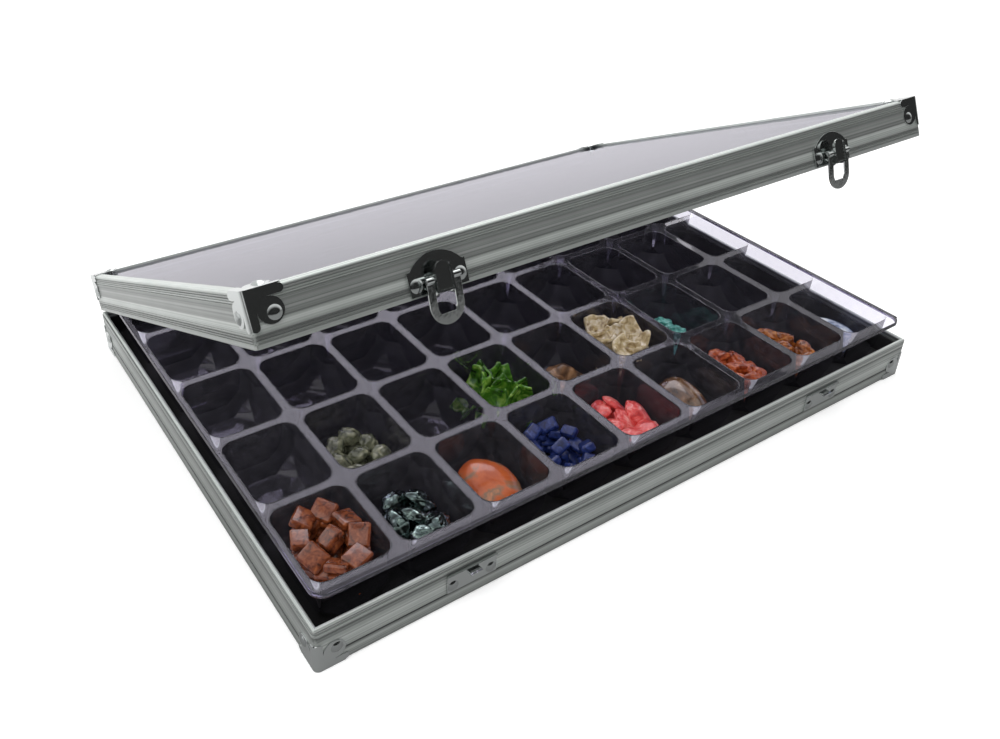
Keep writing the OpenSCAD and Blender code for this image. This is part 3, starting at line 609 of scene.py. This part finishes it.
@dataclass
class Tray:
    """One clear formed sheet of cups; sizes in metres repeat those of the source."""

    columns: int = 9
    rows: int = 5
    width: float = 440.8 * MM
    depth: float = 315.8 * MM
    flange_x: float = 0.4 * MM
    flange_y: float = 3.6 * MM
    web: float = 6.0 * MM
    mouth_r: float = 7.5 * MM
    taper: float = 3.8 * MM
    chamfer: float = 9 * MM
    crease_r: float = 2.2 * MM
    facet_h: float = 9 * MM
    sheet: float = 0.7 * MM
    top: float = 43.5 * MM
    bottom: float = 11.2 * MM
    lip: float = 3 * MM
    arc_points: int = 9
    weld: float = 0.01 * MM
    # The mouth's rim is a low bead: how far outside the mouth each ring lies, and how high.
    bead: tuple[tuple[float, float], ...] = ((0.95, 0.0), (0.75, 0.18), (0.5, 0.26), (0.22, 0.16),
                                             (0.06, -0.15), (0.0, -0.6))
    # Heights of the wall's rings, as shares of the wall and then of the corner facets.
    wall_shares: tuple[float, ...] = (0.9, 0.78, 0.64, 0.5, 0.4)
    facet_shares: tuple[float, ...] = (1.05, 0.97, 0.7, 0.4, 0.12)

    def __post_init__(self) -> None:
        """Work out the pitch, mouth and floor of a cup."""
        self.pitch_x = (self.width - 2 * self.flange_x) / self.columns
        self.pitch_y = (self.depth - 2 * self.flange_y) / self.rows
        self.mouth_x = self.pitch_x - self.web
        self.mouth_y = self.pitch_y - self.web
        self.bed_x = self.mouth_x - 2 * self.taper
        self.bed_y = self.mouth_y - 2 * self.taper
        self.floor = self.bottom + self.sheet

    def cup(self, column: int, row: int) -> Vector:
        """Centre of a cup's floor, counted from 1 at the front left."""
        return Vector(((column - 1 - (self.columns - 1) / 2) * self.pitch_x,
                       (row - 1 - (self.rows - 1) / 2) * self.pitch_y, self.floor))

    def rounded_ring(self, grow: float, z: float) -> list[Vector]:
        """Mouth outline, grown outwards.

        Args:
            grow: Distance outside the mouth.
            z: Height of the ring.

        Returns:
            Points, anticlockwise from the right.
        """
        points = []
        r = self.mouth_r + grow
        for k, (sx, sy) in enumerate(CORNERS):
            for i in range(self.arc_points):
                a = math.radians(90 * k + 90 * i / (self.arc_points - 1))
                points.append(Vector((sx * (self.mouth_x / 2 - self.mouth_r) + r * math.cos(a),
                                      sy * (self.mouth_y / 2 - self.mouth_r) + r * math.sin(a), z)))
        return points

    def floor_ring(self, grow: float, z: float) -> list[Vector]:
        """Eight-sided floor outline, grown outwards.

        Args:
            grow: Distance outside the floor.
            z: Height of the ring.

        Returns:
            Points, anticlockwise from the right.
        """
        points = []
        hx, hy, c = self.bed_x / 2 + grow, self.bed_y / 2 + grow, self.chamfer
        for k, (sx, sy) in enumerate(CORNERS):
            on_y = Vector((sx * hx, sy * (hy - c), z))
            on_x = Vector((sx * (hx - c), sy * hy, z))
            first, last = (on_y, on_x) if k % 2 == 0 else (on_x, on_y)
            for i in range(self.arc_points):
                points.append(first.lerp(last, i / (self.arc_points - 1)))
        return points

    def cell_ring(self, z: float) -> list[Vector]:
        """Outline of a cell, with one point for each point of the mouth.

        Args:
            z: Height of the ring.

        Returns:
            Points, anticlockwise from the right.
        """
        points = []
        hx, hy = self.pitch_x / 2, self.pitch_y / 2
        mx, my = self.mouth_x / 2 - self.mouth_r, self.mouth_y / 2 - self.mouth_r
        half = (self.arc_points - 1) // 2
        for k, (sx, sy) in enumerate(CORNERS):
            for i in range(self.arc_points):
                j = i if k % 2 == 0 else self.arc_points - 1 - i
                if j <= half:
                    x, y = hx, my + (hy - my) * j / half
                else:
                    x, y = mx + (hx - mx) * (self.arc_points - 1 - j) / half, hy
                points.append(Vector((sx * x, sy * y, z)))
        return points

    def wall_ring(self, height: float) -> list[Vector]:
        """Outline of the cup's wall at a height over its floor.

        The corners are round at the mouth, draw in to a crease, and below the facet's tip
        each is cut off by a flat three-sided facet that widens down to the floor.

        Args:
            height: Height over the floor.

        Returns:
            Points, anticlockwise from the right.
        """
        full = self.top - self.floor
        share = height / full
        hx = self.bed_x / 2 + self.taper * share
        hy = self.bed_y / 2 + self.taper * share
        tip = self.facet_h
        if height >= tip:
            r = self.crease_r + (self.mouth_r - self.crease_r) * ((height - tip)
                                                                  / (full - tip)) ** 1.6
            cut = 0.0
        else:
            r = 0.0
            cut = self.crease_r * 0.6 + (self.chamfer - self.crease_r * 0.6) * (1 - height / tip)
        points = []
        z = self.floor + height
        for k, (sx, sy) in enumerate(CORNERS):
            for i in range(self.arc_points):
                if cut:
                    j = i if k % 2 == 0 else self.arc_points - 1 - i
                    t = j / (self.arc_points - 1)
                    points.append(Vector((sx * (hx - cut * t), sy * (hy - cut * (1 - t)), z)))
                else:
                    a = math.radians(90 * k + 90 * i / (self.arc_points - 1))
                    points.append(Vector((sx * (hx - r) + r * math.cos(a),
                                          sy * (hy - r) + r * math.sin(a), z)))
        return points

    def profile(self) -> list[list[Vector]]:
        """Rings of one cup from the cell's outline down to the floor's middle.

        Returns:
            The rings, each with the same number of points.
        """
        top, floor = self.top, self.floor
        rings = [self.cell_ring(top)]
        rings += [self.rounded_ring(out * MM, top + up * MM) for out, up in self.bead]
        rings += [self.wall_ring((top - floor) * share) for share in self.wall_shares]
        rings += [self.wall_ring(self.facet_h * share) for share in self.facet_shares]
        rings.append(self.floor_ring(-0.25 * MM, floor + 0.2 * MM))
        rings.append(self.floor_ring(-0.8 * MM, floor))
        rings.append([p.lerp(Vector((0, 0, floor)), 0.5) for p in rings[-1]])
        return rings

    def build_cup(self) -> bpy.types.Object:
        """Model one cup from a circle that is extruded ring by ring.

        Returns:
            The cup about the origin of the plane.
        """
        rings = self.profile()
        count = len(rings[0])
        bpy.ops.mesh.primitive_circle_add(vertices=count, radius=self.pitch_x / 2)
        obj = bpy.context.object
        mesh = obj.data
        order = sorted(range(count), key=lambda i: math.atan2(mesh.vertices[i].co.y,
                                                              mesh.vertices[i].co.x) % math.tau)
        for index, point in zip(order, rings[0]):
            mesh.vertices[index].co = point
        body = bmesh.new()
        body.from_mesh(mesh)
        body.verts.ensure_lookup_table()
        loop = [body.verts[i] for i in order]
        for ring in rings[1:]:
            fresh = [body.verts.new(p) for p in ring]
            for i in range(count):
                j = (i + 1) % count
                body.faces.new((loop[i], loop[j], fresh[j], fresh[i]))
            loop = fresh
        body.faces.new(loop)
        body.to_mesh(mesh)
        body.free()
        return obj

    def outer(self, point: Vector) -> Vector:
        """Place on the tray's rounded outline that belongs to a point of the cells' outline.

        Args:
            point: Point on the outer edge of the cells.

        Returns:
            The point on the tray's outline.
        """
        hx, hy = self.columns * self.pitch_x / 2, self.rows * self.pitch_y / 2
        reach = self.web / 2 + self.mouth_r
        sx, sy = math.copysign(1, point.x), math.copysign(1, point.y)
        ax, ay = abs(point.x), abs(point.y)
        if ax > hx - reach - TOUCH and ay > hy - reach - TOUCH:
            if ax > hx - TOUCH:
                angle = 45 * (ay - (hy - reach)) / reach
            else:
                angle = 90 - 45 * (ax - (hx - reach)) / reach
            a = math.radians(angle)
            r = self.mouth_r
            return Vector((sx * (self.width / 2 - r + r * math.cos(a)),
                           sy * (self.depth / 2 - r + r * math.sin(a)), self.top))
        if ax > hx - TOUCH:
            return Vector((sx * self.width / 2, point.y, self.top))
        return Vector((point.x, sy * self.depth / 2, self.top))

    def build(self) -> None:
        """Model the sheet: repeat the cup, then add the flange and the turned-down lip.

        It is one skin, because a skin on each side of the sheet would hide the stones.
        """
        deselect_all()
        obj = self.build_cup()
        for axis, count, pitch in ((0, self.columns, self.pitch_x), (1, self.rows, self.pitch_y)):
            array = obj.modifiers.new("repeat", "ARRAY")
            array.use_relative_offset = False
            array.use_constant_offset = True
            array.count = count
            offset = [0.0, 0.0, 0.0]
            offset[axis] = pitch
            array.constant_offset_displace = offset
        apply_all(obj)
        obj.location = (-(self.columns - 1) / 2 * self.pitch_x,
                        -(self.rows - 1) / 2 * self.pitch_y, 0)
        settle(obj, "formed_tray")
        bpy.ops.object.mode_set(mode="EDIT")
        bpy.ops.mesh.select_all(action="SELECT")
        bpy.ops.mesh.remove_doubles(threshold=self.weld)
        bpy.ops.object.mode_set(mode="OBJECT")
        body = bmesh.new()
        body.from_mesh(obj.data)
        edges = [e for e in body.edges if e.is_boundary]
        rim = [self.outer(v.co) for v in {v for e in edges for v in e.verts}]
        for inset, drop in ((0.5 * MM, 0.0), (0.12 * MM, 0.15 * MM), (0.0, 0.6 * MM),
                            (0.0, self.lip), (self.sheet, self.lip),
                            (self.sheet, self.sheet)):
            made = bmesh.ops.extrude_edge_only(body, edges=edges)["geom"]
            edges = [g for g in made if isinstance(g, bmesh.types.BMEdge) and g.is_boundary]
            for vert in (g for g in made if isinstance(g, bmesh.types.BMVert)):
                if drop == 0.0:
                    vert.co = self.outer(vert.co)
                share = Vector((1 - inset / (self.width / 2), 1 - inset / (self.depth / 2)))
                spot = min(rim, key=lambda p: (p.xy - vert.co.xy).length_squared)
                vert.co = Vector((spot.x * share.x, spot.y * share.y, self.top - drop))
        bmesh.ops.recalc_face_normals(body, faces=body.faces)
        body.faces.ensure_lookup_table()
        highest = max(body.faces, key=lambda f: f.calc_center_median().z)
        if highest.normal.z < 0:
            bmesh.ops.reverse_faces(body, faces=body.faces)
        body.to_mesh(obj.data)
        body.free()
        smooth(obj, 38)
        obj.data.materials.clear()
        obj.data.materials.append(
            ClearSheet("clear_polystyrene_vacuum_formed", "#EEECF6", 0.05, 0.04, 1.5, 1.25).make())
        stand_for(obj, "tray", "tray")


class Form(Enum):
    """How a stone was shaped."""

    CHIP = "sawn square and tumbled"
    TUMBLE = "tumbled round"
    ROCK = "broken"
    FLAKE = "curled shell"


@dataclass
class Heap:
    """The stones of one cup: where they lie, their form and their finish."""

    node: str
    slot: str
    column: int
    row: int
    form: Form
    places: list[tuple[Vector, Vector, Euler]]
    finish: Stone
    rough: float = 0.08
    curl: float = 0.5
    facets: int = 9
    facet_reach: float = 0.74

    def block(self, size: Vector) -> bpy.types.Object:
        """Sawn chip: a cube with broad sloped edges, tumbled round.

        Args:
            size: Its three sizes.

        Returns:
            The chip.
        """
        bpy.ops.mesh.primitive_cube_add(size=1)
        obj = bpy.context.object
        obj.scale = size
        bpy.ops.object.transform_apply(location=False, rotation=False, scale=True)
        bpy.ops.object.mode_set(mode="EDIT")
        bpy.ops.mesh.select_all(action="SELECT")
        bpy.ops.mesh.bevel(offset=min(size) * 0.2, segments=1)
        bpy.ops.mesh.subdivide(number_cuts=2)
        bpy.ops.object.mode_set(mode="OBJECT")
        edge = obj.modifiers.new("worn_edge", "BEVEL")
        edge.width = min(size) * 0.05
        edge.segments = 2
        edge.limit_method = "ANGLE"
        edge.angle_limit = math.radians(20)
        apply_all(obj)
        return obj

    def leaf(self, size: Vector, shift: Vector) -> bpy.types.Object:
        """Piece of shell: a curled sheet with an uneven outline and a real thickness.

        Args:
            size: Width, length and thickness.
            shift: Place in the noise that makes the outline uneven.

        Returns:
            The piece.
        """
        bpy.ops.mesh.primitive_grid_add(x_subdivisions=10, y_subdivisions=12, size=1)
        obj = bpy.context.object
        thick = size.z
        for vert in obj.data.vertices:
            u, v = vert.co.x * 2, vert.co.y * 2
            taper = 1 - 0.45 * max(0.0, v) ** 2 - 0.2 * max(0.0, -v) ** 3
            edge = 1 + 0.22 * noise.noise(Vector((u, v, 0)) * 1.1 + shift)
            x = u / 2 * size.x * taper * edge
            y = v / 2 * size.y * edge
            curl = self.curl * (u * u * size.x * 0.3 + v * v * size.y * 0.16)
            ripple = thick * 0.7 * noise.noise(Vector((u * 1.4, v * 1.4, 1)) + shift)
            vert.co = Vector((x, y, curl + ripple))
        wall = obj.modifiers.new("thickness", "SOLIDIFY")
        wall.thickness = thick
        wall.offset = 0
        soft = obj.modifiers.new("soft", "SUBSURF")
        soft.levels = 1
        soft.render_levels = 1
        apply_all(obj)
        return obj

    def ball(self, size: Vector, shift: Vector) -> bpy.types.Object:
        """Tumbled or broken stone: a ball that is pressed, dented and, if broken, faceted.

        Args:
            size: Its three sizes.
            shift: Place in the noise that dents it.

        Returns:
            The stone.
        """
        bpy.ops.mesh.primitive_ico_sphere_add(subdivisions=5, radius=0.5)
        obj = bpy.context.object
        planes = [Vector((noise.noise(shift + Vector((i * 7.1, 0, 0))),
                          noise.noise(shift + Vector((0, i * 5.3, 0))),
                          noise.noise(shift + Vector((0, 0, i * 3.9))))).normalized()
                  for i in range(self.facets)]
        for vert in obj.data.vertices:
            p = vert.co.copy()
            wobble = noise.noise(p * 2.4 + shift) + 0.45 * noise.noise(p * 5.5 + shift)
            k = 1 + self.rough * wobble
            if self.form is Form.ROCK:
                for plane in planes:
                    reach = p.normalized().dot(plane)
                    if reach > self.facet_reach:
                        k *= 1 - 0.85 * (reach - self.facet_reach)
                k *= 1 + 0.05 * noise.noise(p * 14 + shift)
            vert.co = Vector((p.x * k * size.x, p.y * k * size.y, p.z * k * size.z))
        return obj

    def one(self, size: Vector, seed: int) -> bpy.types.Object:
        """Model one stone about its own middle.

        Args:
            size: Its three sizes.
            seed: Number that sets its irregularity.

        Returns:
            The stone.
        """
        deselect_all()
        shift = Vector((seed * 3.7, seed * 1.3, seed * 2.1))
        if self.form is Form.CHIP:
            obj = self.block(size)
        elif self.form is Form.FLAKE:
            obj = self.leaf(size, shift)
        else:
            obj = self.ball(size, shift)
        smooth(obj, 28 if self.form is Form.CHIP else 80)
        return obj

    def build(self, tray: Tray) -> None:
        """Model and place all stones of the cup as one piece.

        Args:
            tray: The tray that holds them.
        """
        base = tray.cup(self.column, self.row)
        parts = []
        for number, (at, size, turn) in enumerate(self.places):
            obj = self.one(size, number + self.column * 17 + self.row * 5)
            obj.matrix_world = Matrix.Translation(base + at) @ turn.to_matrix().to_4x4()
            parts.append(obj)
        piece = join(parts, "stones_" + self.node)
        piece.data.materials.clear()
        piece.data.materials.append(self.finish.make())
        stand_for(piece, "tray", self.node)


def ring_places(tray: Tray, count: int, layers: int, size: tuple[float, float, float],
                tilt: float, seed: int, rise: float = 0.0
                ) -> list[tuple[Vector, Vector, Euler]]:
    """Places round the cup and in its middle, in layers, with seeded turns.

    Args:
        tray: The tray whose cup is filled.
        count: Stones round the middle in one layer.
        layers: Number of layers.
        size: Size of a stone in millimetres.
        tilt: Most tilt in degrees.
        seed: Seed of the turns.
        rise: Height of a layer in millimetres, or 0 for the stone's own thickness.

    Returns:
        Middle, size and turn of each stone.
    """
    rng = random.Random(seed)
    inset = (0.15 * size[0] + 0.48 * size[1] + 0.4) * MM
    lean = math.radians(tilt)
    out = []
    for k in range(layers):
        z = (0.6 * size[2] + k * (rise or size[2])) * MM
        wider = tray.taper * z / (tray.top - tray.floor) - inset
        rx, ry = tray.bed_x / 2 + wider, tray.bed_y / 2 + wider
        for i in range(count):
            a = math.tau * (i + k / 2 + rng.uniform(-0.08, 0.08)) / count
            tangent = math.atan2(ry * math.cos(a), -rx * math.sin(a))
            turn = Euler((rng.uniform(-lean, lean), rng.uniform(-lean, lean),
                          tangent + rng.uniform(-0.4, 0.4)))
            s = Vector(size) * MM * rng.uniform(0.9, 1.12)
            out.append((Vector((rx * math.cos(a), ry * math.sin(a), z)), s, turn))
        turn = Euler((rng.uniform(-lean, lean), rng.uniform(-lean, lean),
                      rng.uniform(0, math.tau)))
        out.append((Vector((0, 0, z)), Vector(size) * MM, turn))
    return out


def grid_places(nx: int, ny: int, step: tuple[float, float], layers: int,
                size: tuple[float, float, float], tilt: float, seed: int
                ) -> list[tuple[Vector, Vector, Euler]]:
    """Places in a loose grid in layers, with seeded turns.

    Args:
        nx: Stones across.
        ny: Stones in depth.
        step: Distances in millimetres.
        layers: Number of layers; each has one fewer across and in depth.
        size: Size of a stone in millimetres.
        tilt: Most tilt in degrees.
        seed: Seed of the turns.

    Returns:
        Middle, size and turn of each stone.
    """
    rng = random.Random(seed)
    lean = math.radians(tilt)
    out = []
    for k in range(layers):
        for i in range(nx - k):
            for j in range(ny - k):
                at = Vector(((i - (nx - k - 1) / 2) * step[0] + rng.uniform(-1, 1),
                             (j - (ny - k - 1) / 2) * step[1] + rng.uniform(-1, 1),
                             (k + 0.52) * size[2])) * MM
                turn = Euler((rng.uniform(-lean, lean), rng.uniform(-lean, lean),
                              rng.uniform(0, math.tau)))
                out.append((at, Vector(size) * MM * rng.uniform(0.88, 1.1), turn))
    return out


def lone(size: tuple[float, float, float], turn: tuple[float, float, float],
         shift: tuple[float, float]) -> list[tuple[Vector, Vector, Euler]]:
    """Place of a single stone on the cup's floor.

    Args:
        size: Its size in millimetres.
        turn: Its turn in degrees.
        shift: Its place from the cup's middle in millimetres.

    Returns:
        Middle, size and turn of the stone.
    """
    return [(Vector((shift[0], shift[1], size[2] * 0.52)) * MM, Vector(size) * MM,
             Euler([math.radians(a) for a in turn]))]


def shell_places(tray: Tray, count: int, size: tuple[float, float, float], seed: int
                 ) -> list[tuple[Vector, Vector, Euler]]:
    """Places of shells that stand up in a cup like petals and lean outwards.

    Args:
        tray: The tray whose cup is filled.
        count: Number of shells.
        size: Size of a shell in millimetres.
        seed: Seed of the turns.

    Returns:
        Middle, size and turn of each shell.
    """
    rng = random.Random(seed)
    out = []
    for i in range(count):
        ring = 1 if i % 3 else 0.4
        a = math.tau * i / count * 2 + rng.uniform(-0.2, 0.2)
        x = ring * 0.3 * tray.bed_x * math.cos(a)
        y = ring * 0.33 * tray.bed_y * math.sin(a)
        lean = math.radians(rng.uniform(48, 80))
        turn = Euler((lean, rng.uniform(-0.35, 0.35), a + math.pi / 2 + rng.uniform(-0.5, 0.5)))
        grown = rng.uniform(0.8, 1.12)
        out.append((Vector((x, y, size[1] * MM * grown * 0.5 * math.sin(lean)
                            + rng.uniform(0, 5) * MM)), Vector(size) * MM * grown, turn))
    return out


def build_stones(tray: Tray) -> None:
    """Fill the fourteen cups that the photograph shows filled.

    Args:
        tray: The tray that holds the stones.
    """
    heaps = [
        Heap("goldstone_chips", "goldstone", 1, 1, Form.CHIP,
             ring_places(tray, 8, 6, (12, 10.5, 4.6), 34, 11, 4.9),
             Stone("goldstone_sawn_tumbled", "#8A4320", 0.22, cloud_mm=3,
                   stops=((0.3, "#3E1D10"), (0.5, "#6E361E"), (0.75, "#91502C")),
                   glitter=1.0, coat=0.6), 0.1),
        Heap("hematite_tumbles", "hematite", 2, 1, Form.TUMBLE,
             ring_places(tray, 5, 2, (19, 13, 10), 30, 21, 9),
             Stone("hematite_tumbled", "#4A5553", 0.1, cloud_mm=5,
                   stops=((0.3, "#1B2524"), (0.55, "#5C6E6A"), (0.75, "#B9CCC4")),
                   metallic=1.0, coat=0.8), 0.2),
        Heap("banded_pebble", "orange_jasper", 3, 1, Form.TUMBLE,
             lone((32, 42, 21), (14, -12, 10), (-1, -1)),
             Stone("orange_jasper_tumbled", "#C56A35", 0.25, cloud_mm=16,
                   stops=((0.3, "#9E4319"), (0.52, "#B85A2C"), (0.62, "#7C6048"),
                          (0.7, "#C67A4C")), coat=0.5), 0.05),
        Heap("lapis_chips", "lapis", 4, 1, Form.CHIP,
             ring_places(tray, 8, 4, (11, 7.5, 5), 40, 41),
             Stone("lapis_sawn", "#1E2A5E", 0.3, cloud_mm=3,
                   stops=((0.3, "#0C1230"), (0.55, "#1F2E66"), (0.8, "#465592")),
                   coat=0.4), 0.1),
        Heap("coral_discs", "coral", 5, 1, Form.TUMBLE,
             ring_places(tray, 6, 3, (17, 13, 6.5), 30, 51),
             Stone("coral_ground_polished", "#D9504C", 0.3, cloud_mm=5,
                   stops=((0.25, "#A92A2C"), (0.5, "#D84A47"), (0.8, "#EFA39B")),
                   coat=0.4, glow=0.1), 0.2),
        Heap("brown_pebble", "brown_agate", 6, 1, Form.TUMBLE,
             lone((30, 42, 17), (14, -10, -12), (0, -1)),
             Stone("agate_tumbled_brown", "#5A4331", 0.15, cloud_mm=10,
                   stops=((0.3, "#2C1E14"), (0.55, "#6B4D36"), (0.75, "#A08A72")),
                   coat=0.8), 0.05),
        Heap("carnelian_stones", "carnelian", 7, 1, Form.ROCK,
             ring_places(tray, 6, 2, (20, 13, 11), 25, 71, 9),
             Stone("carnelian_broken", "#9E4520", 0.3, cloud_mm=4,
                   stops=((0.3, "#5A1D0C"), (0.55, "#A04520"), (0.8, "#C97A45")),
                   coat=0.4, glow=0.1), 0.4),
        Heap("amber_pieces", "amber", 8, 1, Form.ROCK,
             ring_places(tray, 6, 2, (19, 12, 10), 25, 81, 8),
             Stone("amber_broken", "#8A4A1C", 0.25, cloud_mm=5,
                   stops=((0.3, "#4A200A"), (0.55, "#94501E"), (0.8, "#C98A48")),
                   coat=0.5, glow=0.15), 0.3),
        Heap("sodalite_pebble", "sodalite", 9, 1, Form.TUMBLE,
             lone((30, 40, 17), (10, 8, 20), (2, -2)),
             Stone("sodalite_tumbled", "#7F8CA8", 0.2, cloud_mm=9,
                   stops=((0.3, "#232D4A"), (0.5, "#6E7E9E"), (0.62, "#C5CCD4"),
                          (0.75, "#EDEFF0")), coat=0.7), 0.06),
        Heap("jade_tumbles", "labradorite", 2, 2, Form.TUMBLE,
             ring_places(tray, 7, 2, (13, 11, 9), 25, 101, 7.5),
             Stone("labradorite_tumbled", "#6A6E58", 0.2, cloud_mm=6,
                   stops=((0.3, "#2C3026"), (0.55, "#6E705A"), (0.8, "#B4B294")),
                   coat=0.6), 0.22),
        Heap("green_shell_flakes", "green_shell", 4, 2, Form.FLAKE,
             shell_places(tray, 9, (21, 30, 1.8), 111),
             Stone("abalone_dyed_green", "#4C7A28", 0.15, cloud_mm=6,
                   stops=((0.3, "#16330C"), (0.5, "#4C8324"), (0.65, "#8FB84A"),
                          (0.8, "#D7E3A0")), coat=0.9, metallic=0.1), 0.2, 0.9),
        Heap("brown_rock", "brown_stone", 5, 2, Form.ROCK,
             lone((28, 32, 18), (8, 0, 30), (-1, -3)),
             Stone("brown_stone_broken", "#6A4830", 0.45, cloud_mm=7,
                   stops=((0.3, "#2A1A10"), (0.55, "#74502F"), (0.8, "#B08458")),
                   coat=0.2), 0.3),
        Heap("pearl_shells", "shell", 6, 2, Form.FLAKE,
             ring_places(tray, 6, 5, (18, 14, 2.8), 32, 131, 5.4),
             Stone("shell_ground_polished", "#CDBB94", 0.2, cloud_mm=4,
                   stops=((0.25, "#7A5C34"), (0.5, "#CDB98E"), (0.75, "#F3EAD8")),
                   coat=0.8), 0.25, 0.8),
        Heap("turquoise_cluster", "turquoise", 7, 2, Form.ROCK,
             grid_places(2, 3, (14, 14), 2, (14, 13, 9.5), 25, 141),
             Stone("turquoise_broken", "#4FA89C", 0.35, cloud_mm=3,
                   stops=((0.28, "#274640"), (0.42, "#3F958A"), (0.75, "#7FCCC0")),
                   coat=0.4, bump=0.3), 0.45),
    ]
    for heap in heaps:
        heap.build(tray)


@dataclass(frozen=True)
class SoftBox:
    """A square soft lamp that points at the object; sizes in metres and watts."""

    name: str
    at: tuple[float, float, float]
    size: float
    watts: float
    mirrored: bool = False

    def hang(self) -> None:
        """Put the lamp into the scene."""
        data = bpy.data.lights.new(self.name, "AREA")
        data.shape = "SQUARE"
        data.size = self.size
        data.energy = self.watts
        lamp = bpy.data.objects.new(self.name, data)
        lamp.location = self.at
        lamp.visible_glossy = self.mirrored
        aim = Vector((0, 0, 0.08)) - Vector(self.at)
        lamp.rotation_euler = aim.to_track_quat("-Z", "Y").to_euler()
        bpy.context.scene.collection.objects.link(lamp)


@dataclass
class Studio:
    """Pale floor, soft lamps and the camera at the photograph's viewing angle.

    Place is in metres, the angles in degrees; the focal length and the picture's centre are in
    pixels of a picture of the given width and height.
    """

    place: tuple[float, float, float] = (-0.3380, -0.4416, 0.3894)
    azimuth: float = -35.5626
    elevation: float = 31.7493
    roll: float = 1.8253
    focal_px: float = 961.76
    sensor_mm: float = 36.0
    centre_px: tuple[float, float] = (477.40, 303.15)
    frame_px: tuple[int, int] = (1000, 739)
    lamps: tuple[SoftBox, ...] = (SoftBox("key", (-0.9, -0.5, 1.5), 1.2, 14),
                                  SoftBox("back", (0.7, 1.2, 1.2), 1.4, 12, mirrored=True),
                                  SoftBox("fill", (0.9, -1.3, 0.8), 1.0, 5))

    def camera(self) -> None:
        """Set up the camera from the fitted view."""
        az, el, ro = (math.radians(a) for a in (self.azimuth, self.elevation, self.roll))
        back = Vector((math.sin(az) * math.cos(el), -math.cos(az) * math.cos(el), math.sin(el)))
        right = Vector((0, 0, 1)).cross(back).normalized()
        up = back.cross(right)
        r2 = math.cos(ro) * right + math.sin(ro) * up
        u2 = -math.sin(ro) * right + math.cos(ro) * up
        data = bpy.data.cameras.new("view")
        wide, high = self.frame_px
        data.sensor_width = self.sensor_mm
        data.lens = self.focal_px / wide * self.sensor_mm
        data.shift_x = (wide / 2 - self.centre_px[0]) / wide
        data.shift_y = (self.centre_px[1] - high / 2) / wide
        data.clip_start = 0.01
        camera = bpy.data.objects.new("view", data)
        turn = Matrix((r2, u2, back)).transposed().to_4x4()
        camera.matrix_world = Matrix.Translation(Vector(self.place)) @ turn
        bpy.context.scene.collection.objects.link(camera)
        bpy.context.scene.camera = camera

    def world(self) -> None:
        """White behind and above the object, dark in front, as in a studio with a white sweep."""
        world = bpy.data.worlds.new("studio")
        bpy.context.scene.world = world
        world.use_nodes = True
        tree = world.node_tree
        tree.nodes.clear()
        coord = add_node(tree, "TexCoord")
        front = add_node(tree, "VectorMath", {"operation": "DOT_PRODUCT",
                                              1: (0.1, -1.0, 0.0)},
                         {0: coord.outputs["Generated"]})
        shade = add_node(tree, "MapRange", {"From Min": 0.15, "From Max": 0.5,
                                            "To Min": 1.0, "To Max": 0.03},
                         {"Value": front.outputs["Value"]})
        path = add_node(tree, "LightPath")
        seen = add_node(tree, "Math", {"operation": "MAXIMUM"},
                        {0: path.outputs["Is Camera Ray"],
                         1: path.outputs["Is Transmission Ray"]})
        soft = add_node(tree, "Background", {"Color": (1, 1, 1, 1), "Strength": 0.55})
        sweep = add_node(tree, "Background", {"Color": (1, 1, 1, 1)},
                         {"Strength": shade.outputs[0]})
        white = add_node(tree, "Background", {"Color": (1, 1, 1, 1), "Strength": 1.0})
        gloss = add_node(tree, "MixShader", links={0: path.outputs["Is Glossy Ray"],
                                                   1: soft.outputs[0], 2: sweep.outputs[0]})
        out = add_node(tree, "MixShader", links={0: seen.outputs[0], 1: gloss.outputs[0],
                                                 2: white.outputs[0]})
        add_node(tree, "OutputWorld", links={"Surface": out.outputs[0]})

    def floor(self) -> None:
        """White floor that keeps the object's shadow.

        In reflections it is painted greyer in front of the object: painted shade that darkens what the
        shiny parts reflect.
        """
        deselect_all()
        bpy.ops.mesh.primitive_plane_add(size=30, location=(0, 0, -0.0002))
        floor = bpy.context.object
        settle(floor, "floor")
        material, tree = new_material("white_paper_matt")
        paper = add_node(tree, "BsdfDiffuse", {"Color": to_linear("#F4F4F4")})
        glow = add_node(tree, "Emission", {"Color": (1, 1, 1, 1), "Strength": 0.32})
        both = add_node(tree, "AddShader", links={0: paper.outputs[0], 1: glow.outputs[0]})
        path = add_node(tree, "LightPath")
        # Painted shade: a grey floor seen only in reflections, darkest in front of the object.
        grey = add_node(tree, "BsdfDiffuse", {"Color": to_linear("#A0A0A0")})
        coord = add_node(tree, "TexCoord")
        where = add_node(tree, "SeparateXYZ", links={0: coord.outputs["Object"]})
        front_shade_share = add_node(tree, "MapRange", {"From Min": -0.05, "From Max": 0.2,
                                           "To Min": 1.0, "To Max": 0.0},
                        {"Value": where.outputs["Y"]})
        reflected_shade_mask = add_node(tree, "Math", {"operation": "MULTIPLY"},
                       {0: path.outputs["Is Glossy Ray"], 1: front_shade_share.outputs[0]})
        unseen = add_node(tree, "MixShader", links={0: reflected_shade_mask.outputs[0], 1: paper.outputs[0],
                                                    2: grey.outputs[0]})
        mix = add_node(tree, "MixShader", links={0: path.outputs["Is Camera Ray"],
                                                 1: unseen.outputs[0], 2: both.outputs[0]})
        add_node(tree, "OutputMaterial", links={"Surface": mix.outputs[0]})
        floor.data.materials.append(material)

    def build(self) -> None:
        """Set up floor, world, lamps and camera."""
        self.floor()
        self.world()
        for lamp in self.lamps:
            lamp.hang()
        self.camera()
        bpy.context.scene.view_settings.view_transform = "Standard"


def main() -> None:
    """Build every sub-assembly in order."""
    logging.basicConfig(level=logging.INFO, format="%(message)s")
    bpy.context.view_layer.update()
    CaseFrame().dress()
    Fittings().dress()
    tray = Tray()
    tray.build()
    build_stones(tray)
    Studio().build()


if __name__ == "__main__":
    main()
